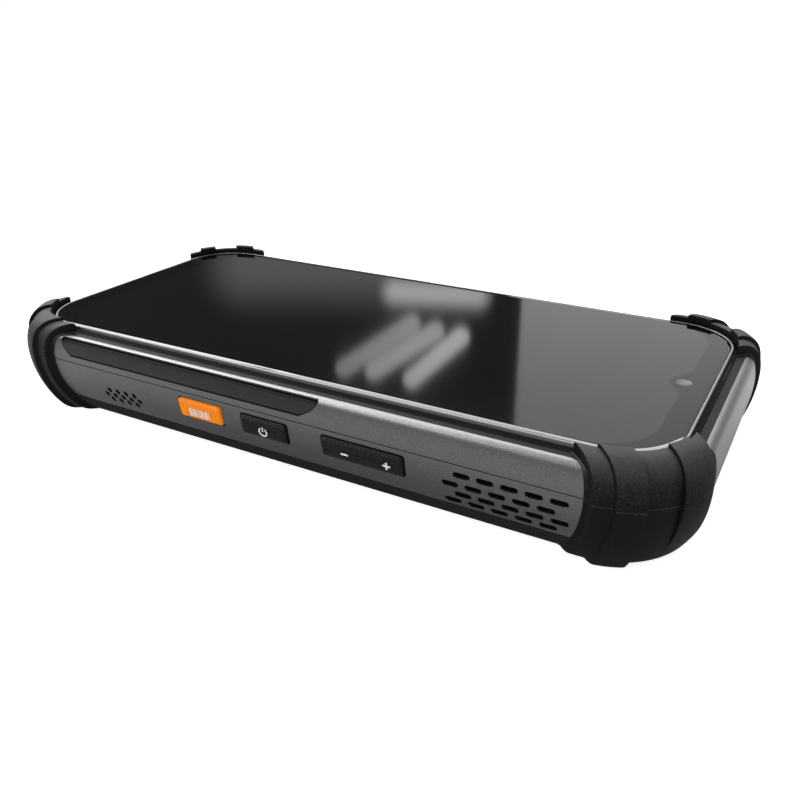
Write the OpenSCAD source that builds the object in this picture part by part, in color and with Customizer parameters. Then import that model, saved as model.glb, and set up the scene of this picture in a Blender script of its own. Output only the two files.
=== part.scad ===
// Rugged handheld tablet of phone shape, lying on its back with the screen up.
// +X is the camera end, +Z comes out of the screen. A person who holds it upright sees -Y on the right.
// Heights (z) are above the surface that the tablet lies on. Wall sections are drawn flat, with x as
// the distance out from the edge of the cover glass and y as the height, and are then swept round it.

/* [Display] */
// Length of the cover glass
glass_l = 156; // [150:1:162]
// Width of the cover glass
glass_w = 70; // [68:1:74]
// Corner radius of the cover glass
corner_r = 13; // [12:0.5:14]
// Height of the glass face
glass_top = 22.3; // [22:0.1:23]
// Thickness of the cover glass
glass_t = 1.1; // [0.8:0.1:1.3]
// Thickness of the display panel under the glass
panel_t = 2.2; // [1.8:0.1:2.2]

/* [Housing] */
// Height of the seam between the front and the rear shell, where the walls stand out most
seam_z = 15.3; // [15:0.1:15.6]
// How far the walls stand out past the edge of the glass at the seam
waist_o = 5.95; // [5.5:0.05:6.5]
// Radius of the wall above the seam
upper_r = 14.5; // [14:0.5:18]
// Radius of the wall below the seam
lower_r = 23.4; // [22:0.2:26]
// Radius of the shoulder beside the screen
shoulder_r = 2.2; // [1.5:0.1:2.4]
// Radius of the edge round the flat back
back_edge_r = 2; // [1:0.1:3]
// Height where the grey rear shell ends and the black back cover starts
cover_z = 5.1; // [4.8:0.1:5.4]
// Height of the flat back: the corner guards stand this far below it
back_z = 1; // [0.8:0.1:1.2]
// Wall thickness of the shells and the back cover
wall_t = 2; // [1.8:0.1:2]
// Width of the chamfer on each side of the seams
seam_chamfer = 0.2; // [0.1:0.05:0.3]

/* [Screen surround] */
// Width of the bright rim round the glass
rim_w = 0.52; // [0.3:0.02:0.6]
// Height of the rim above the inner edge of the black gasket band
rim_drop = 0.78; // [0.5:0.02:1]
// Distance from the glass edge to the outer edge of the black gasket band
gasket_o = 1.55; // [1.3:0.05:1.8]
// Drop of the shells' flat top below the glass face
shell_drop = 1.25; // [1:0.05:1.5]

/* [Corner guards] */
// Thickness of the thin border film of a guard
film_t = 0.15; // [0.1:0.05:0.3]
// Thickness of the main layer of a guard
guard_t = 1.35; // [1:0.05:1.6]
// Thickness of a guard at its ribs
rib_t = 2.35; // [2:0.05:2.6]
// Height of the main layer above the glass face
guard_rise = 1.1; // [1:0.1:1.6]
// Height of the ribs above the glass face
rib_rise = 1.9; // [1.8:0.1:2.5]
// Depth of the main layer below the flat back
guard_sink = 0.5; // [0.3:0.1:0.6]
// How far a guard reaches in under the glass edge on the back
guard_in = 5; // [3:0.5:6]
// The steps of a guard are upright planes at 45 degrees: x - y is the same all along each of them.
// x - y where the film starts and ends
film_span = [24.6, 57.2]; // [0:0.1:100]
// x - y where the main layer starts and ends
guard_span = [25.3, 56.6]; // [0:0.1:100]
// x - y where the rib on the long side starts and ends
long_rib_span = [29.4, 36.2]; // [0:0.1:100]
// x - y where the rib on the short side starts and ends
short_rib_span = [45.4, 51.9]; // [0:0.1:100]

/* [Side trim] */
// Ends of the trim strip's upper edge along the long side
trim_x = [-62.7, 11]; // [-70:0.1:20]
// Heights of the strip's lower and upper edge
trim_z = [17, 20.4]; // [16:0.1:21]
// How far the lower edge is shorter at the rear and at the front end, where it curves up into the ends
trim_slant = [3.1, 4]; // [1:0.1:5]

/* [Keys] */
// Span of the scan key along the long side
scan_x = [-26, -14.2]; // [-35:0.1:0]
// Span of the power key
power_x = [-8.75, 3.1]; // [-12:0.1:8]
// Span of the volume rocker
volume_x = [11.8, 30.5]; // [8:0.1:35]
// Heights of the keys' lower and upper edge
key_z = [9.35, 13.9]; // [8:0.05:14.5]
// How far the keys stand out from the wall
key_proud = 0.7; // [0.5:0.05:1.2]
// Travel of a pressed key
key_travel = 0.5; // [0.2:0.1:0.6]
// Gap between a key and its window
key_gap = 0.22; // [0.15:0.01:0.3]

/* [Sound openings] */
// Length and width of one slot of the loudspeaker grille
slot_size = [3.3, 1]; // [0.5:0.1:4]
// Spacing of the slots along a row
slot_pitch = 4.7; // [4:0.1:5]
// Centre of the first slot in each row, from the seam down: place along the side and height
slot_rows = [[42.65, 13.15], [40.25, 10.75], [42.75, 8.6], [40.5, 6.65]]; // [0:0.1:70]
// Slots in a row
slots_per_row = 5; // [3:1:6]
// Length and width of one oval microphone hole
mic_size = [1.1, 0.76]; // [0.5:0.02:1.3]
// Holes in each slanting column of the microphone grille
mic_columns = [2, 3, 3, 3, 2]; // [1:1:4]

/* [Camera and socket] */
// Distance of the front camera from the middle of the tablet
camera_x = 72.7; // [71:0.1:73.5]
// Diameter of the clear window over the front camera
camera_d = 3.5; // [2.5:0.1:4]
// Height of the middle of the charging socket
socket_z = 10.6; // [10:0.1:11.5]
// Width of the socket's mouth
socket_w = 8.94; // [8:0.02:9]
// Height of the socket's mouth
socket_h = 3.16; // [3:0.02:3.2]

/* [Hidden] */

$fn = 96;
eps = 0.01;

// Straight lengths of the glass outline, from the middle to where its corners start
straight_x = glass_l / 2 - corner_r;
straight_y = glass_w / 2 - corner_r;

shell_top = glass_top - shell_drop;
ledge_z = glass_top - glass_t - panel_t;
frame_t = 1.1;
frame_under = ledge_z - frame_t;
frame_o = 3.2;
panel_lip = 0.7;
floor_z = back_z + wall_t;

shell_grey = "#6f7174";
guard_black = "#1d1e20";
cover_black = "#232426";
rim_grey = "#8d8f92";
board_green = "#1f4a35";
steel_grey = "#b9bcc0";
flex_orange = "#b5762c";

// Points of an arc about c, without its first point when first is 1
function arc(c, r, a0, a1, steps, first = 0) =
    [for (i = [first:steps]) let(a = a0 + (a1 - a0) * i / steps) [c.x + r * cos(a), c.y + r * sin(a)]];

function reversed(list) = [for (i = [len(list) - 1:-1:0]) list[i]];

// How far out the wall is at height z, for a layer grown outwards by t
function wall_o(z, t = 0) =
    let(r = z > seam_z ? upper_r : lower_r)
    waist_o - r + sqrt(pow(r + t, 2) - pow(z - seam_z, 2));

// Outline from just above the seam over the shoulder to the flat top, for a layer grown outwards by t
function upper_outline(t, top, shoulder) =
    let(
        r = upper_r + t,
        c = [waist_o - upper_r, seam_z],
        sz = top - shoulder,
        so = c.x + sqrt(pow(r - shoulder, 2) - pow(sz - c.y, 2)),
        a = atan2(sz - c.y, so - c.x)
    )
    concat(arc(c, r, asin(seam_chamfer / r), a, 4), arc([so, sz], shoulder, a, 90, 7, 1));

// Outline from just below the seam down to the back cover, for a layer grown outwards by t
function side_outline(t) =
    let(r = lower_r + t)
    let(a = asin((cover_z + seam_chamfer - seam_z) / r))
    arc([waist_o - lower_r, seam_z], r, -asin(seam_chamfer / r), a, 6);

// Outline of the back cover's wall, round the back edge to the flat bottom
function lower_outline(t, bottom, edge) =
    let(
        r = lower_r + t,
        c = [waist_o - lower_r, seam_z],
        ez = bottom + edge,
        eo = c.x + sqrt(pow(r - edge, 2) - pow(ez - c.y, 2)),
        a = atan2(ez - c.y, eo - c.x)
    )
    concat(arc(c, r, asin((cover_z - seam_chamfer - seam_z) / r), a, 2), arc([eo, ez], edge, a, -90, 5, 1));

// Outline of a wall between two heights, for a layer grown outwards by t
function wall_outline(t, z0, z1, steps = 5) =
    [for (i = [0:steps]) let(z = z0 + (z1 - z0) * i / steps) [wall_o(z, t), z]];

// Corner of the sweep: a quarter turn at +X +Y
module corner()
    translate([straight_x, straight_y, 0]) rotate_extrude(angle = 90) translate([corner_r, 0]) children();

// Straight of the sweep along the +Y side, from x0 to x1
module long_side(x0, x1)
    translate([x0, glass_w / 2, 0]) rotate([90, 0, 90]) linear_extrude(x1 - x0) children();

// Straight of the sweep along the +X side, from y0 to y1
module short_side(y0, y1)
    translate([glass_l / 2, y1, 0]) rotate([90, 0, 0]) linear_extrude(y1 - y0) children();

// Sweeps a section all round the glass outline
module ring() {
    for (qx = [0, 1], qy = [0, 1]) mirror([qx, 0, 0]) mirror([0, qy, 0]) corner() children();
    for (q = [0, 1]) {
        mirror([0, q, 0]) long_side(-straight_x, straight_x) children();
        mirror([q, 0, 0]) short_side(-straight_y, straight_y) children();
    }
}

module rounded_rect(size, r) {
    square([size.x - 2 * r, size.y], center = true);
    square([size.x, size.y - 2 * r], center = true);
    for (sx = [-1, 1], sy = [-1, 1]) translate([sx * (size.x / 2 - r), sy * (size.y / 2 - r)]) circle(r);
}

// Flat plate of the glass outline grown by o, between two heights
module slab(o, z0, z1)
    translate([0, 0, z0]) linear_extrude(z1 - z0)
        rounded_rect([glass_l + 2 * o, glass_w + 2 * o], corner_r + o);

// Block given by its lowest and highest corner
module block(low, high) translate(low) cube(high - low);

// Prism along Y of a flat shape drawn in x and z, which goes out through the -Y wall
module through_right_wall(inner_o = 0)
    translate([0, -glass_w / 2 - inner_o, 0]) rotate([90, 0, 0]) linear_extrude(12) children();

module mirrored_y() mirror([0, 1, 0]) children();

module span_rect(span, heights, grow = 0, r = 0.6)
    translate([(span[0] + span[1]) / 2, (heights[0] + heights[1]) / 2])
        rounded_rect([span[1] - span[0] + 2 * grow, heights[1] - heights[0] + 2 * grow], r);

// Screen

module cover_glass() {
    chamfer = 0.2;
    edge_gap = 0.05;
    color("#101214") {
        slab(-edge_gap, glass_top - glass_t, glass_top - chamfer);
        slab(-edge_gap - chamfer, glass_top - chamfer, glass_top);
    }
}

panel_x = [-75.4, 74.4];
panel_r = 11;
notch_r = 4.3;

module display_panel()
    color("#0b0c0e") difference() {
        translate([(panel_x[0] + panel_x[1]) / 2, 0, ledge_z]) linear_extrude(panel_t)
            rounded_rect([panel_x[1] - panel_x[0], glass_w - 2 * (panel_lip + 0.1)], panel_r);
        translate([camera_x, 0, ledge_z - 1]) cylinder(r = notch_r, h = panel_t + 2);
        block([camera_x, -notch_r, ledge_z - 1], [glass_l / 2, notch_r, glass_top]);
    }

// Bright frame that holds the glass: a flat top and a bevelled outer edge
rim_under = glass_top - glass_t - 0.7;
rim_bevel = 0.1;

module display_rim()
    color(rim_grey) ring() polygon([
        [0, glass_top],
        [rim_w - rim_bevel, glass_top],
        [rim_w, glass_top - rim_bevel],
        [rim_w, rim_under],
        [-panel_lip, rim_under],
        [-panel_lip, glass_top - glass_t],
        [0, glass_top - glass_t]
    ]);

// Black band between the rim and the shell, with a slit at the camera end for the earpiece
module display_gasket()
    color("#17181a") difference() {
        ring() polygon([
            [rim_w, ledge_z],
            [gasket_o, ledge_z],
            [gasket_o, shell_top],
            [rim_w, glass_top - rim_drop]
        ]);
        earpiece_duct();
    }

earpiece_y = [7, 17];
earpiece_slit_o = [0.75, 1.25];

module earpiece_duct()
    block([glass_l / 2 + earpiece_slit_o[0], earpiece_y[0], frame_under - 1],
        [glass_l / 2 + earpiece_slit_o[1], earpiece_y[1], glass_top]);

// Frame and shells

screw_spots = [[66, 26.5], [66, -26.5], [-66, 26.5], [-66, -26.5], [34.3, 33.5], [34.3, -33.5]];
boss_r = 2.3;
boss_under = 6;
screw_r = 0.95;
screw_head_r = 1.9;
screw_head_z = 2.4;
screw_end = 14.4;

key_rib_o = [-1.3, -0.3];
key_rib_x = [-28, 31.5];
key_rib_z = key_z[0] - 1;

// Metal plate under the display. Bosses for the screws, ribs behind the key boards and posts for the
// main board hang from it.
module mid_frame() {
    boss_bore_r = 1;
    post_r = 1.8;
    post_under = board_z + board_t;
    flex_slot = [1.4, 24];
    flex_slot_x = -72;
    join = 0.5;
    color("#9a9da1") difference() {
        union() {
            slab(frame_o, frame_under, ledge_z);
            ring() polygon([
                [-panel_lip, ledge_z - eps],
                [rim_w, ledge_z - eps],
                [rim_w, rim_under],
                [-panel_lip, rim_under]
            ]);
            for (p = screw_spots) translate([p.x, p.y, boss_under])
                cylinder(r = boss_r, h = frame_under - boss_under + join);
            for (side = [0, 1]) mirror([0, side, 0]) long_side(key_rib_x[0], key_rib_x[1])
                translate([key_rib_o[0], key_rib_z])
                    square([key_rib_o[1] - key_rib_o[0], frame_under - key_rib_z + join]);
            for (p = board_posts) translate([p.x, p.y, post_under])
                cylinder(r = post_r, h = frame_under - post_under + join);
        }
        for (p = screw_spots) translate([p.x, p.y, boss_under - 1])
            cylinder(r = boss_bore_r, h = screw_end - boss_under + 1.5);
        translate([camera_x, 0, frame_under - 1]) cylinder(r = barrel_r + 0.5, h = 5);
        translate([flex_slot_x, -flex_slot.y / 2, frame_under - 1]) cube([flex_slot.x, flex_slot.y, 5]);
        earpiece_duct();
    }
}

// Section of the front shell: shoulder, outer wall, inner wall, and the ledge that holds the frame down
function front_section() =
    let(inner_r = upper_r - wall_t, ledge_a = asin((ledge_z - seam_z) / inner_r))
    concat(
        [[waist_o - seam_chamfer, seam_z]],
        upper_outline(0, shell_top, shoulder_r),
        [[gasket_o, shell_top], [gasket_o, ledge_z]],
        arc([waist_o - upper_r, seam_z], inner_r, ledge_a, 0, 3)
    );

// Flat outline of the trim strip, seen from the right side
function trim_outline(grow = 0) =
    let(
        x0 = trim_x[0] - grow,
        x1 = trim_x[1] + grow,
        z0 = trim_z[0] - grow,
        z1 = trim_z[1] + grow,
        snip = 0.35,
        rise = z1 - snip - z0
    )
    concat(
        [for (a = [0:15:90]) [x1 - trim_slant[1] * (1 - sin(a)), z0 + rise * (1 - cos(a))]],
        [[x1 - snip, z1], [x0 + snip, z1]],
        [for (a = [90:-15:0]) [x0 + trim_slant[0] * (1 - sin(a)), z0 + rise * (1 - cos(a))]]
    );

trim_depth = 1.1;
trim_recess = 0.12;
trim_gap = 0.12;

// Part of the +Y wall between two depths below its surface, along the trim strip
module trim_layer(outer, inner) {
    low = trim_z[0] - 0.5;
    high = trim_z[1] + 0.3;
    long_side(trim_x[0] - 1, trim_x[1] + 1)
        polygon(concat(wall_outline(-inner, low, high), reversed(wall_outline(-outer, low, high))));
}

module front_shell()
    color(shell_grey) difference() {
        ring() polygon(front_section());
        for (side = [0, 1]) mirror([0, side, 0]) intersection() {
            trim_layer(-2, trim_depth);
            mirrored_y() through_right_wall() polygon(trim_outline(trim_gap));
        }
    }

module trim_strip_left()
    color("#2b2c2f") intersection() {
        trim_layer(trim_recess, trim_depth);
        mirrored_y() through_right_wall() polygon(trim_outline());
    }

module trim_strip_right() mirrored_y() trim_strip_left();

// Section of the rear shell between the seam and the back cover
function rear_section() = concat(
    [[waist_o - seam_chamfer, seam_z]],
    side_outline(0),
    [[wall_o(cover_z) - seam_chamfer, cover_z]],
    inner_outline(0)
);

// Outline of the rear shell's inner face from the back cover up, moved in by depth
function inner_outline(depth) = wall_outline(-wall_t - depth, cover_z, seam_z, 6);

// Flat pad behind the keys, so that they have a plane to stop against
pad_o = 3;
pad_z = [key_z[0] - 1.5, key_z[1] + 0.7];
pad_right_x = [-29.5, 33.5];
pad_left_x = [-29.5, -10];
pad_body_o = 4.2;

module key_pad(span)
    long_side(span[0], span[1]) translate([pad_o, pad_z[0]]) square([pad_body_o - pad_o, pad_z[1] - pad_z[0]]);

// Room behind the pad for the keys' flanges
module key_well(span)
    long_side(span[0], span[1]) translate([0, pad_z[0]]) square([pad_o, pad_z[1] - pad_z[0]]);

module key_window(span, gap_x = key_gap)
    through_right_wall() translate([(span[0] + span[1]) / 2, (key_z[0] + key_z[1]) / 2])
        rounded_rect([span[1] - span[0] + 2 * gap_x, key_z[1] - key_z[0] + 2 * key_gap], 0.7);

module speaker_grille()
    through_right_wall() for (row = slot_rows, i = [0:slots_per_row - 1])
        translate([row.x + i * slot_pitch, row.y]) slot();

module slot() {
    r = slot_size.y / 2;
    square([slot_size.x - 2 * r, slot_size.y], center = true);
    for (s = [-1, 1]) translate([s * (slot_size.x / 2 - r), 0]) circle(r);
}

// Slanting columns of oval holes that lean the other way. Middle columns hold three, the outer ones two.
mic_x = -48.7;
mic_z = 10.35;
mic_step = [2.64, 0.04];
mic_down = [-1.34, -1.32];
mic_lean = -45;

module mic_grille()
    through_right_wall() for (c = [0:len(mic_columns) - 1], k = [0:mic_columns[c] - 1])
        let(down = k + (c == len(mic_columns) - 1 ? 1 : 0))
        translate([mic_x + c * mic_step.x + down * mic_down.x, mic_z + c * mic_step.y + down * mic_down.y])
            rotate(mic_lean) resize(mic_size) circle(d = mic_size.x, $fn = 24);

// Charging port: a shallow seat in the -X wall for the rubber cover, and a mouth to the socket behind it.
// The cover swings about its fold, an upright bead of rubber between it and the fixed end of its strap.
fold_y = 9.2;
fold_o = 5.5;
fold_r = 0.5;
fold_z = [8.6, 12.8];
cover_y = [-9, fold_y];
cover_heights = [7.4, 13.8];
cover_t = 1.5;
cover_gap = 0.3;
strap_y = [fold_y + 0.7, fold_y + 3.4];
strap_inset = 0.9;
mouth = [10.4, 4.4];
port_pad_o = 2;
port_pad_t = 2;
port_pad_z = [cover_heights[0] - 0.8, cover_heights[1] + 0.6];

module on_bottom_end() mirror([1, 0, 0]) children();

module port_layer(outer, inner, y0, y1, z0, z1)
    short_side(y0, y1) polygon(concat(wall_outline(-inner, z0, z1), reversed(wall_outline(-outer, z0, z1))));

// Lower shell, with pads on its inner face behind the keys, the port cover and the card tray
module rear_shell() {
    tray_slot_r = 0.5;
    tray_seat_r = 1.2;
    tray_pad_h = 5.2;
    tray_pad_half = tray_face.x / 2 + 1;
    color(shell_grey) difference() {
        union() {
            ring() polygon(rear_section());
            key_pad(pad_left_x);
            mirrored_y() key_pad(pad_right_x);
            on_bottom_end() short_side(cover_y[0] - 2.5, strap_y[1] + 2)
                translate([port_pad_o, port_pad_z[0]]) square([port_pad_t, port_pad_z[1] - port_pad_z[0]]);
            long_side(tray_mid_x - tray_pad_half, tray_mid_x + tray_pad_half)
                translate([tray_pad_o, tray_mid_z - tray_pad_h / 2]) square([pad_body_o - tray_pad_o, tray_pad_h]);
        }
        key_well(pad_left_x);
        mirrored_y() key_well(pad_right_x);
        key_window(scan_x);
        mirrored_y() key_window(scan_x);
        key_window(power_x);
        key_window(volume_x, rocker_gap);
        speaker_grille();
        mic_grille();
        on_bottom_end() {
            port_layer(-2, cover_t + 0.1, cover_y[0] - cover_gap, strap_y[1] + 0.1,
                cover_heights[0] - cover_gap, cover_heights[1] + cover_gap);
            block([glass_l / 2 - 2, -mouth.x / 2, socket_z - mouth.y / 2],
                [glass_l / 2 + 8, mouth.x / 2, socket_z + mouth.y / 2]);
        }
        mirrored_y() through_right_wall() translate([tray_mid_x, tray_mid_z])
            rounded_rect([tray_w + 0.4, tray_body_t + 0.4], tray_slot_r);
        mirrored_y() through_right_wall(tray_seat_o) translate([tray_mid_x, tray_mid_z])
            rounded_rect([tray_face.x + 0.3, tray_face.y + 0.3], tray_seat_r);
    }
}

camera_window_size = [12, 24];
camera_window_at = [61, 11];
scan_window_size = [11, 17];
scan_window_at = [61, -12];
window_t = 1;
window_lip = 1.2;
lower_inner_o = wall_o(floor_z + 1, -wall_t) - 1;

// Black tray under the shells, with posts for the screws and two sunk windows
module back_cover() {
    post_r = 2.8;
    clear_r = 1.15;
    window_r = 2.6;
    opening_r = 1.4;
    color(cover_black) difference() {
        union() {
            ring() polygon(concat(
                [[wall_o(cover_z) - seam_chamfer, cover_z]],
                lower_outline(0, back_z, back_edge_r),
                [[-6, back_z], [-6, floor_z]],
                [[lower_inner_o, floor_z], [wall_o(cover_z, -wall_t), cover_z]]
            ));
            slab(-5, back_z, floor_z);
            for (p = screw_spots) translate([p.x, p.y, floor_z - 0.5])
                cylinder(r = post_r, h = boss_under - floor_z + 0.5);
        }
        for (p = screw_spots) translate([p.x, p.y, 0]) {
            cylinder(r = screw_head_r + 0.15, h = screw_head_z);
            cylinder(r = clear_r, h = boss_under + 1);
        }
        for (w = [[camera_window_at, camera_window_size], [scan_window_at, scan_window_size]])
            translate([w[0].x, w[0].y, 0]) {
                linear_extrude(back_z + window_t) rounded_rect(w[1] + [0.2, 0.2], window_r);
                linear_extrude(floor_z + 1) rounded_rect(w[1] - [window_lip, window_lip] * 2, opening_r);
            }
    }
}

// Rubber cord in the seam, inside the two shells
module shell_seal() {
    seal_size = [0.85, 1.1];
    color("#c9532b") ring() translate([waist_o - wall_t - 0.1 - seal_size.x, seam_z - seal_size.y / 2])
        square(seal_size);
}

module case_screws() {
    drive_r = 0.9;
    drive_depth = 0.8;
    head_t = 1.1;
    color(steel_grey) for (p = screw_spots) translate([p.x, p.y, 0]) difference() {
        union() {
            translate([0, 0, screw_head_z - head_t]) cylinder(r = screw_head_r, h = head_t);
            translate([0, 0, screw_head_z - eps]) cylinder(r = screw_r, h = screw_end - screw_head_z);
        }
        translate([0, 0, screw_head_z - head_t - eps]) cylinder(r = drive_r, h = drive_depth, $fn = 6);
    }
}

// Corner guards, moulded onto the shells in an upper and a lower half

// Upright strip of space between two values of x - y, in the +X +Y quadrant
module diagonal(span)
    rotate(-45) translate([span[0] / sqrt(2), -20, -5]) cube([(span[1] - span[0]) / sqrt(2), 140, 40]);

// Distance of a guard's lip from the glass edge
lip_o = gasket_o - 0.12;

// Shoulder radius with which a guard layer falls away right from its lip
function full_shoulder(t, top) =
    let(r = upper_r + t, out = gasket_o - waist_o + upper_r, rise = top - seam_z)
    (r * r - out * out - rise * rise) / (2 * (r - rise));

// Section of one guard layer above the seam: it wraps over the shoulder to the lip
function front_layer(t, top, shoulder) = concat(
    [[waist_o + t, seam_z]],
    upper_outline(t, top, shoulder),
    [[lip_o, top], [gasket_o, shell_top]],
    reversed(upper_outline(0, shell_top, shoulder_r)),
    [[waist_o, seam_z]]
);

// Section of one guard layer below the seam: it wraps under the back edge onto the flat back
function rear_layer(t, bottom, edge) = concat(
    [[waist_o, seam_z]],
    side_outline(0),
    lower_outline(0, back_z, back_edge_r),
    [[-guard_in, back_z], [-guard_in, bottom]],
    reversed(lower_outline(t, bottom, edge)),
    reversed(side_outline(t)),
    [[waist_o + t, seam_z]]
);

// Section of the rib on the short side below the seam: it thins out into the main layer before the back edge
rib_fade_z = 4.6;

function fading_rib() =
    let(steps = 6)
    concat(
        wall_outline(guard_t / 2, seam_z, rib_fade_z, steps),
        [for (i = [steps:-1:0])
            let(z = seam_z + (rib_fade_z - seam_z) * i / steps)
            [wall_o(z, rib_t + (guard_t - rib_t) * i / steps), z]]
    );

// Sweeps a section round the corner and some way along both straights, and keeps what lies in the span
guard_run = [14, 12];
guard_top = glass_top + guard_rise;
rib_top = glass_top + rib_rise;
guard_edge_r = 3;
rib_edge_r = 3.5;

module guard_sweep(section, span)
    intersection() {
        union() {
            corner() polygon(section);
            long_side(straight_x - guard_run.x, straight_x) polygon(section);
            short_side(straight_y - guard_run.y, straight_y) polygon(section);
        }
        diagonal(span);
    }

module guard_front()
    color(guard_black) {
        guard_sweep(front_layer(film_t, shell_top + film_t, shoulder_r + film_t), film_span);
        guard_sweep(front_layer(guard_t, guard_top, full_shoulder(guard_t, guard_top)), guard_span);
        for (span = [long_rib_span, short_rib_span])
            guard_sweep(front_layer(rib_t, rib_top, full_shoulder(rib_t, rib_top)), span);
    }

module guard_rear()
    color(guard_black) {
        guard_sweep(rear_layer(film_t, back_z - film_t, back_edge_r + film_t), film_span);
        guard_sweep(rear_layer(guard_t, back_z - guard_sink, guard_edge_r), guard_span);
        guard_sweep(rear_layer(rib_t, 0, rib_edge_r), long_rib_span);
        guard_sweep(fading_rib(), short_rib_span);
    }

module guard_top_left_front() guard_front();
module guard_top_left_rear() guard_rear();
module guard_top_right_front() mirror([0, 1, 0]) guard_front();
module guard_top_right_rear() mirror([0, 1, 0]) guard_rear();
module guard_bottom_left_front() mirror([1, 0, 0]) guard_front();
module guard_bottom_left_rear() mirror([1, 0, 0]) guard_rear();
module guard_bottom_right_front() rotate(180) guard_front();
module guard_bottom_right_rear() rotate(180) guard_rear();

// Keys. Each has a cap in the wall, a flange that stops behind it and plungers over the switches.

flange_o = [2.2, 2.9];
plunger_o = 1.65;
plunger_r = 0.9;
flange_grow = 0.9;
rocker_gap = 0.3;
rocker_flange_o = [1.85, 2.5];
rocker_plungers = [15.5, 26.8];
switch_top_o = plunger_o - key_travel - 0.05;
board_o = [-0.3, 0.3];
board_h = key_z[1] - key_rib_z + 0.6;

// Cap whose face follows the curve of the wall
module key_cap(span, back_o)
    intersection() {
        mirrored_y() long_side(span[0], span[1]) polygon(concat(
            wall_outline(key_proud, key_z[0], key_z[1]),
            [[back_o, key_z[1]], [back_o, key_z[0]]]
        ));
        through_right_wall() span_rect(span, key_z);
    }

flange_z = [key_z[0] - flange_grow, key_z[1] + 0.3 * flange_grow];

module key_flange(span, depth)
    mirrored_y() long_side(span[0] - flange_grow, span[1] + flange_grow)
        translate([depth[0], flange_z[0]]) square([depth[1] - depth[0], flange_z[1] - flange_z[0]]);

module plunger(x, tip_o, base_o)
    translate([x, -glass_w / 2 - tip_o, (key_z[0] + key_z[1]) / 2])
        rotate([90, 0, 0]) cylinder(r = plunger_r, h = base_o - tip_o, $fn = 24);

module push_key(span) {
    key_cap(span, flange_o[1] - 0.2);
    key_flange(span, flange_o);
    plunger((span[0] + span[1]) / 2, plunger_o, flange_o[0] + 0.2);
}

module scan_key_right() color("#ff8c1a") push_key(scan_x);
module scan_key_left() color("#ff8c1a") mirrored_y() push_key(scan_x);
module power_key() color("#1b1c1e") push_key(power_x);

// One cap over two switches. It rocks on a round ridge that runs down behind it and meets the pad.
module volume_key() {
    ridge_r = 0.44;
    color("#1b1c1e") {
        key_cap(volume_x, rocker_flange_o[1] - 0.2);
        key_flange(volume_x, rocker_flange_o);
        for (x = rocker_plungers) plunger(x, plunger_o - 0.15, rocker_flange_o[0] + 0.2);
        translate([(volume_x[0] + volume_x[1]) / 2, -glass_w / 2 - rocker_flange_o[1], flange_z[0]])
            cylinder(r = ridge_r, h = flange_z[1] - flange_z[0]);
    }
}

module key_board_right()
    color(flex_orange) mirrored_y() long_side(key_rib_x[0], key_rib_x[1])
        translate([board_o[0], key_rib_z]) square([board_o[1] - board_o[0], board_h]);

module key_board_left()
    color(flex_orange) long_side(scan_x[0] - 2, scan_x[1] + 2)
        translate([board_o[0], key_rib_z]) square([board_o[1] - board_o[0], board_h]);

// One tactile switch, drawn on the right key board
module tact_switch(x)
    translate([x, -glass_w / 2 - board_o[1], (key_z[0] + key_z[1]) / 2]) rotate([90, 0, 0]) {
        translate([-1.75, -1.5, 0]) cube([3.5, 3, 0.45]);
        cylinder(r = 1, h = switch_top_o - board_o[1], $fn = 24);
    }

module key_switches()
    color(steel_grey) {
        for (x = concat([(scan_x[0] + scan_x[1]) / 2, (power_x[0] + power_x[1]) / 2], rocker_plungers)) tact_switch(x);
        mirrored_y() tact_switch((scan_x[0] + scan_x[1]) / 2);
    }

// Charging port

// Rubber cover with a plug on its inner face, and the bead that it swings about
module port_cover() {
    nib = [8.7, 3.7];
    nib_end_o = 2.1;
    color("#202124") on_bottom_end() {
        intersection() {
            port_layer(0, cover_t, cover_y[0], cover_y[1], cover_heights[0], cover_heights[1]);
            translate([glass_l / 2 - 5, (cover_y[0] + cover_y[1]) / 2, (cover_heights[0] + cover_heights[1]) / 2])
                rotate([90, 0, 90]) linear_extrude(15)
                    rounded_rect([cover_y[1] - cover_y[0], cover_heights[1] - cover_heights[0]], 1.2);
        }
        block([glass_l / 2 + nib_end_o, -nib.x / 2 + 0.15, socket_z - nib.y / 2],
            [glass_l / 2 + wall_o(socket_z) - cover_t + 0.4, nib.x / 2 + 0.15, socket_z + nib.y / 2]);
        translate([glass_l / 2 + fold_o, fold_y, fold_z[0]]) cylinder(r = fold_r, h = fold_z[1] - fold_z[0]);
    }
}

// Fixed end of the strap, pressed into the wall beside the cover
module port_cover_strap()
    color("#202124") on_bottom_end()
        port_layer(0, cover_t + 0.1, strap_y[0], strap_y[1], cover_heights[0] + strap_inset,
            cover_heights[1] - strap_inset);

usb_board_top = socket_z - socket_h / 2;

module usb_board()
    color(board_green)
        block([-glass_l / 2 + 1.6, -17, usb_board_top - 1], [-glass_l / 2 + 18, 17, usb_board_top]);

// Socket shell with its tongue
module usb_socket() {
    depth = 7.3;
    skin = 0.3;
    front_x = -glass_l / 2 - 1.6;
    color(steel_grey) translate([front_x, 0, socket_z]) rotate([90, 0, 90]) {
        difference() {
            linear_extrude(depth) rounded_rect([socket_w, socket_h], socket_h / 2 - 0.02);
            translate([0, 0, -1]) linear_extrude(depth)
                rounded_rect([socket_w - 2 * skin, socket_h - 2 * skin], socket_h / 2 - skin - 0.02);
        }
        translate([-3.35, -0.35, 0.6]) cube([6.7, 0.7, depth - 1]);
    }
}

// Card tray on the left side

tray_w = 15.4;
tray_body_t = 1.4;
tray_len = 25;
tray_face = [18.4, 3.2];
tray_mid_x = 50;
tray_mid_z = 10.6;
tray_seat_o = 3.9;
tray_pad_o = 2.3;

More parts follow.
